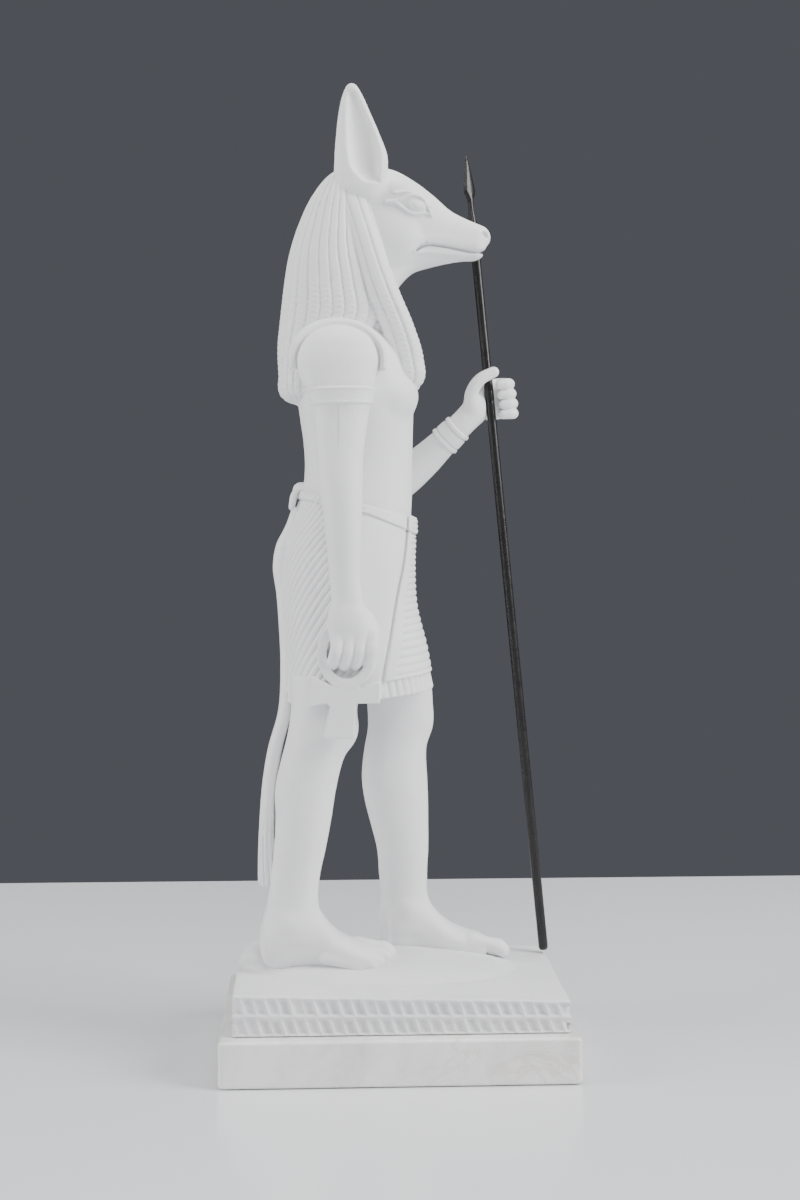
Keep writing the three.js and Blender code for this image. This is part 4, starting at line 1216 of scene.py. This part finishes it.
def alabaster():
    """Polished translucent alabaster: milky clouds and a few soft cream and grey veins."""
    nodes = Nodes("polished_alabaster")
    place = nodes.place()
    warp = nodes.noise(place, 16.0, 5.0, 0.6)
    warped = nodes.add("ShaderNodeVectorMath", {0: place, 1: (0, 0, 0)}, operation="ADD")
    shift = nodes.add("ShaderNodeVectorMath", {0: nodes.ramp(warp, (0, (0, 0, 0)), (1, (1, 1, 1))), "Scale": 0.03}, operation="SCALE")
    nodes.tree.links.new(shift.outputs["Vector"], warped.inputs[1])
    moved = warped.outputs["Vector"]
    clouds = nodes.noise(moved, 34.0, 6.0, 0.62, 0.6)
    milky = nodes.ramp(clouds, (0.28, (0.66, 0.63, 0.6)), (0.45, (0.82, 0.8, 0.78)), (0.62, (0.9, 0.89, 0.88)))
    veins = nodes.noise(moved, 17.0, 8.0, 0.66, 1.4)
    vein = nodes.ramp(veins, (0.47, (0, 0, 0)), (0.5, (1, 1, 1)), (0.53, (0, 0, 0)))
    patches = nodes.noise(place, 22.0, 3.0, 0.5)
    strength = nodes.math("MULTIPLY", vein, nodes.ramp(patches, (0.42, (0, 0, 0)), (0.66, (0.5, 0.5, 0.5))))
    colour = nodes.mix(strength, milky, (0.62, 0.53, 0.45))
    polish = nodes.noise(place, 120.0, 3.0, 0.5)
    rough = nodes.ramp(polish, (0.3, (0.14, 0.14, 0.14)), (0.7, (0.24, 0.24, 0.24)))
    normal = nodes.bump(nodes.noise(place, 90.0, 2.0, 0.5), 0.06, 0.0004)
    nodes.set(Base_Color=colour, Roughness=rough, Normal=normal)
    nodes.set(Subsurface_Weight=0.35, Subsurface_Radius=(0.006, 0.0052, 0.0045), Coat_Weight=0.25, Coat_Roughness=0.12)
    return nodes.material


def black_metal():
    """Black painted metal, glossy, with faint brown where the paint is thin."""
    nodes = Nodes("black_metal_paint")
    place = nodes.place()
    worn = nodes.noise(place, 170.0, 6.0, 0.65)
    colour = nodes.ramp(worn, (0.35, (0.008, 0.008, 0.009)), (0.6, (0.013, 0.012, 0.012)), (0.78, (0.045, 0.028, 0.016)))
    rough = nodes.ramp(nodes.noise(place, 420.0, 4.0, 0.6), (0.3, (0.24, 0.24, 0.24)), (0.7, (0.4, 0.4, 0.4)))
    normal = nodes.bump(nodes.noise(place, 700.0, 4.0, 0.6), 0.25, 0.0002)
    nodes.set(Base_Color=colour, Roughness=rough, Normal=normal, Specular_IOR_Level=0.4, Coat_Weight=0.1, Coat_Roughness=0.2)
    return nodes.material


def floor_finish():
    nodes = Nodes("pale_floor")
    place = nodes.place()
    colour = nodes.ramp(nodes.noise(place, 3.0, 2.0, 0.5), (0.3, (0.74, 0.75, 0.77)), (0.7, (0.77, 0.78, 0.8)))
    nodes.set(Base_Color=colour, Roughness=0.22, Specular_IOR_Level=0.4)
    return nodes.material


def dress(piece, material, node):
    piece.data.materials.clear()
    piece.data.materials.append(material)
    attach(piece, "root")
    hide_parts(node)


# Camera, light and floor


CAMERA = {"place": (-0.0345, -0.7578, 0.2292), "down": 2.2, "turn": 2.77, "lens": 51.51}


def set_camera():
    data = bpy.data.cameras.new("camera")
    data.lens = CAMERA["lens"]
    data.sensor_width = 36.0
    data.clip_start = 0.01
    camera = bpy.data.objects.new("camera", data)
    camera.location = CAMERA["place"]
    camera.rotation_euler = (math.radians(90 - CAMERA["down"]), 0, math.radians(-CAMERA["turn"]))
    bpy.context.scene.collection.objects.link(camera)
    bpy.context.scene.camera = camera


def soft_box(name, place, target, size, power):
    data = bpy.data.lights.new(name, "AREA")
    data.shape = "RECTANGLE"
    data.size, data.size_y = size
    data.energy = power
    light = bpy.data.objects.new(name, data)
    light.location = place
    light.rotation_euler = (Vector(target) - Vector(place)).to_track_quat("-Z", "Y").to_euler()
    bpy.context.scene.collection.objects.link(light)


def set_light():
    middle = (0, 0, 0.22)
    soft_box("key", (1.3, -0.5, 0.95), middle, (0.8, 1.1), 34.0)
    soft_box("fill", (-1.3, -0.25, 0.7), middle, (0.7, 1.2), 17.0)
    soft_box("front", (-0.1, -1.6, 1.2), middle, (1.2, 0.8), 11.0)
    soft_box("top", (0.1, 0.0, 1.6), middle, (1.2, 1.2), 19.0)
    world = bpy.data.worlds.new("studio")
    bpy.context.scene.world = world
    world.use_nodes = True
    background = world.node_tree.nodes["Background"]
    background.inputs["Color"].default_value = (0.082, 0.086, 0.098, 1)
    background.inputs["Strength"].default_value = 1.0


FLOOR = {"far": 0.373, "near": -1.6, "side": 1.8}


def set_floor():
    corners = [
        (-FLOOR["side"], FLOOR["near"], 0),
        (FLOOR["side"], FLOOR["near"], 0),
        (FLOOR["side"], FLOOR["far"], 0),
        (-FLOOR["side"], FLOOR["far"], 0),
    ]
    mesh = bpy.data.meshes.new("floor")
    mesh.from_pydata(corners, [], [(0, 1, 2, 3)])
    mesh.update()
    mesh.materials.append(floor_finish())
    floor = bpy.data.objects.new("floor", mesh)
    bpy.context.scene.collection.objects.link(floor)


set_camera()
set_light()
set_floor()
CELL = 0.42
white = cast_stone("white_cast_stone", (0.86, 0.86, 0.865), (0.82, 0.82, 0.83), 1.0)
# The hewn base takes a greyer copy of the figure's white stone: the grey is painted shade on its rough faces, since the
# stone is the same white; its stronger grain is a real bump.
hewn = cast_stone("hewn_cast_stone_painted_shade", (0.82, 0.82, 0.83), (0.74, 0.745, 0.76), 1.8)
dress(sculpted("standing_figure", figure(), CELL, 196000), white, "figure")
dress(sculpted("hewn_base", base_block(), CELL * 1.1, 150000), hewn, "figure")
dress(sculpted("alabaster_plinth", plinth_block(), 1.0, 30000), alabaster(), "plinth")
dress(spear(), black_metal(), "spear")
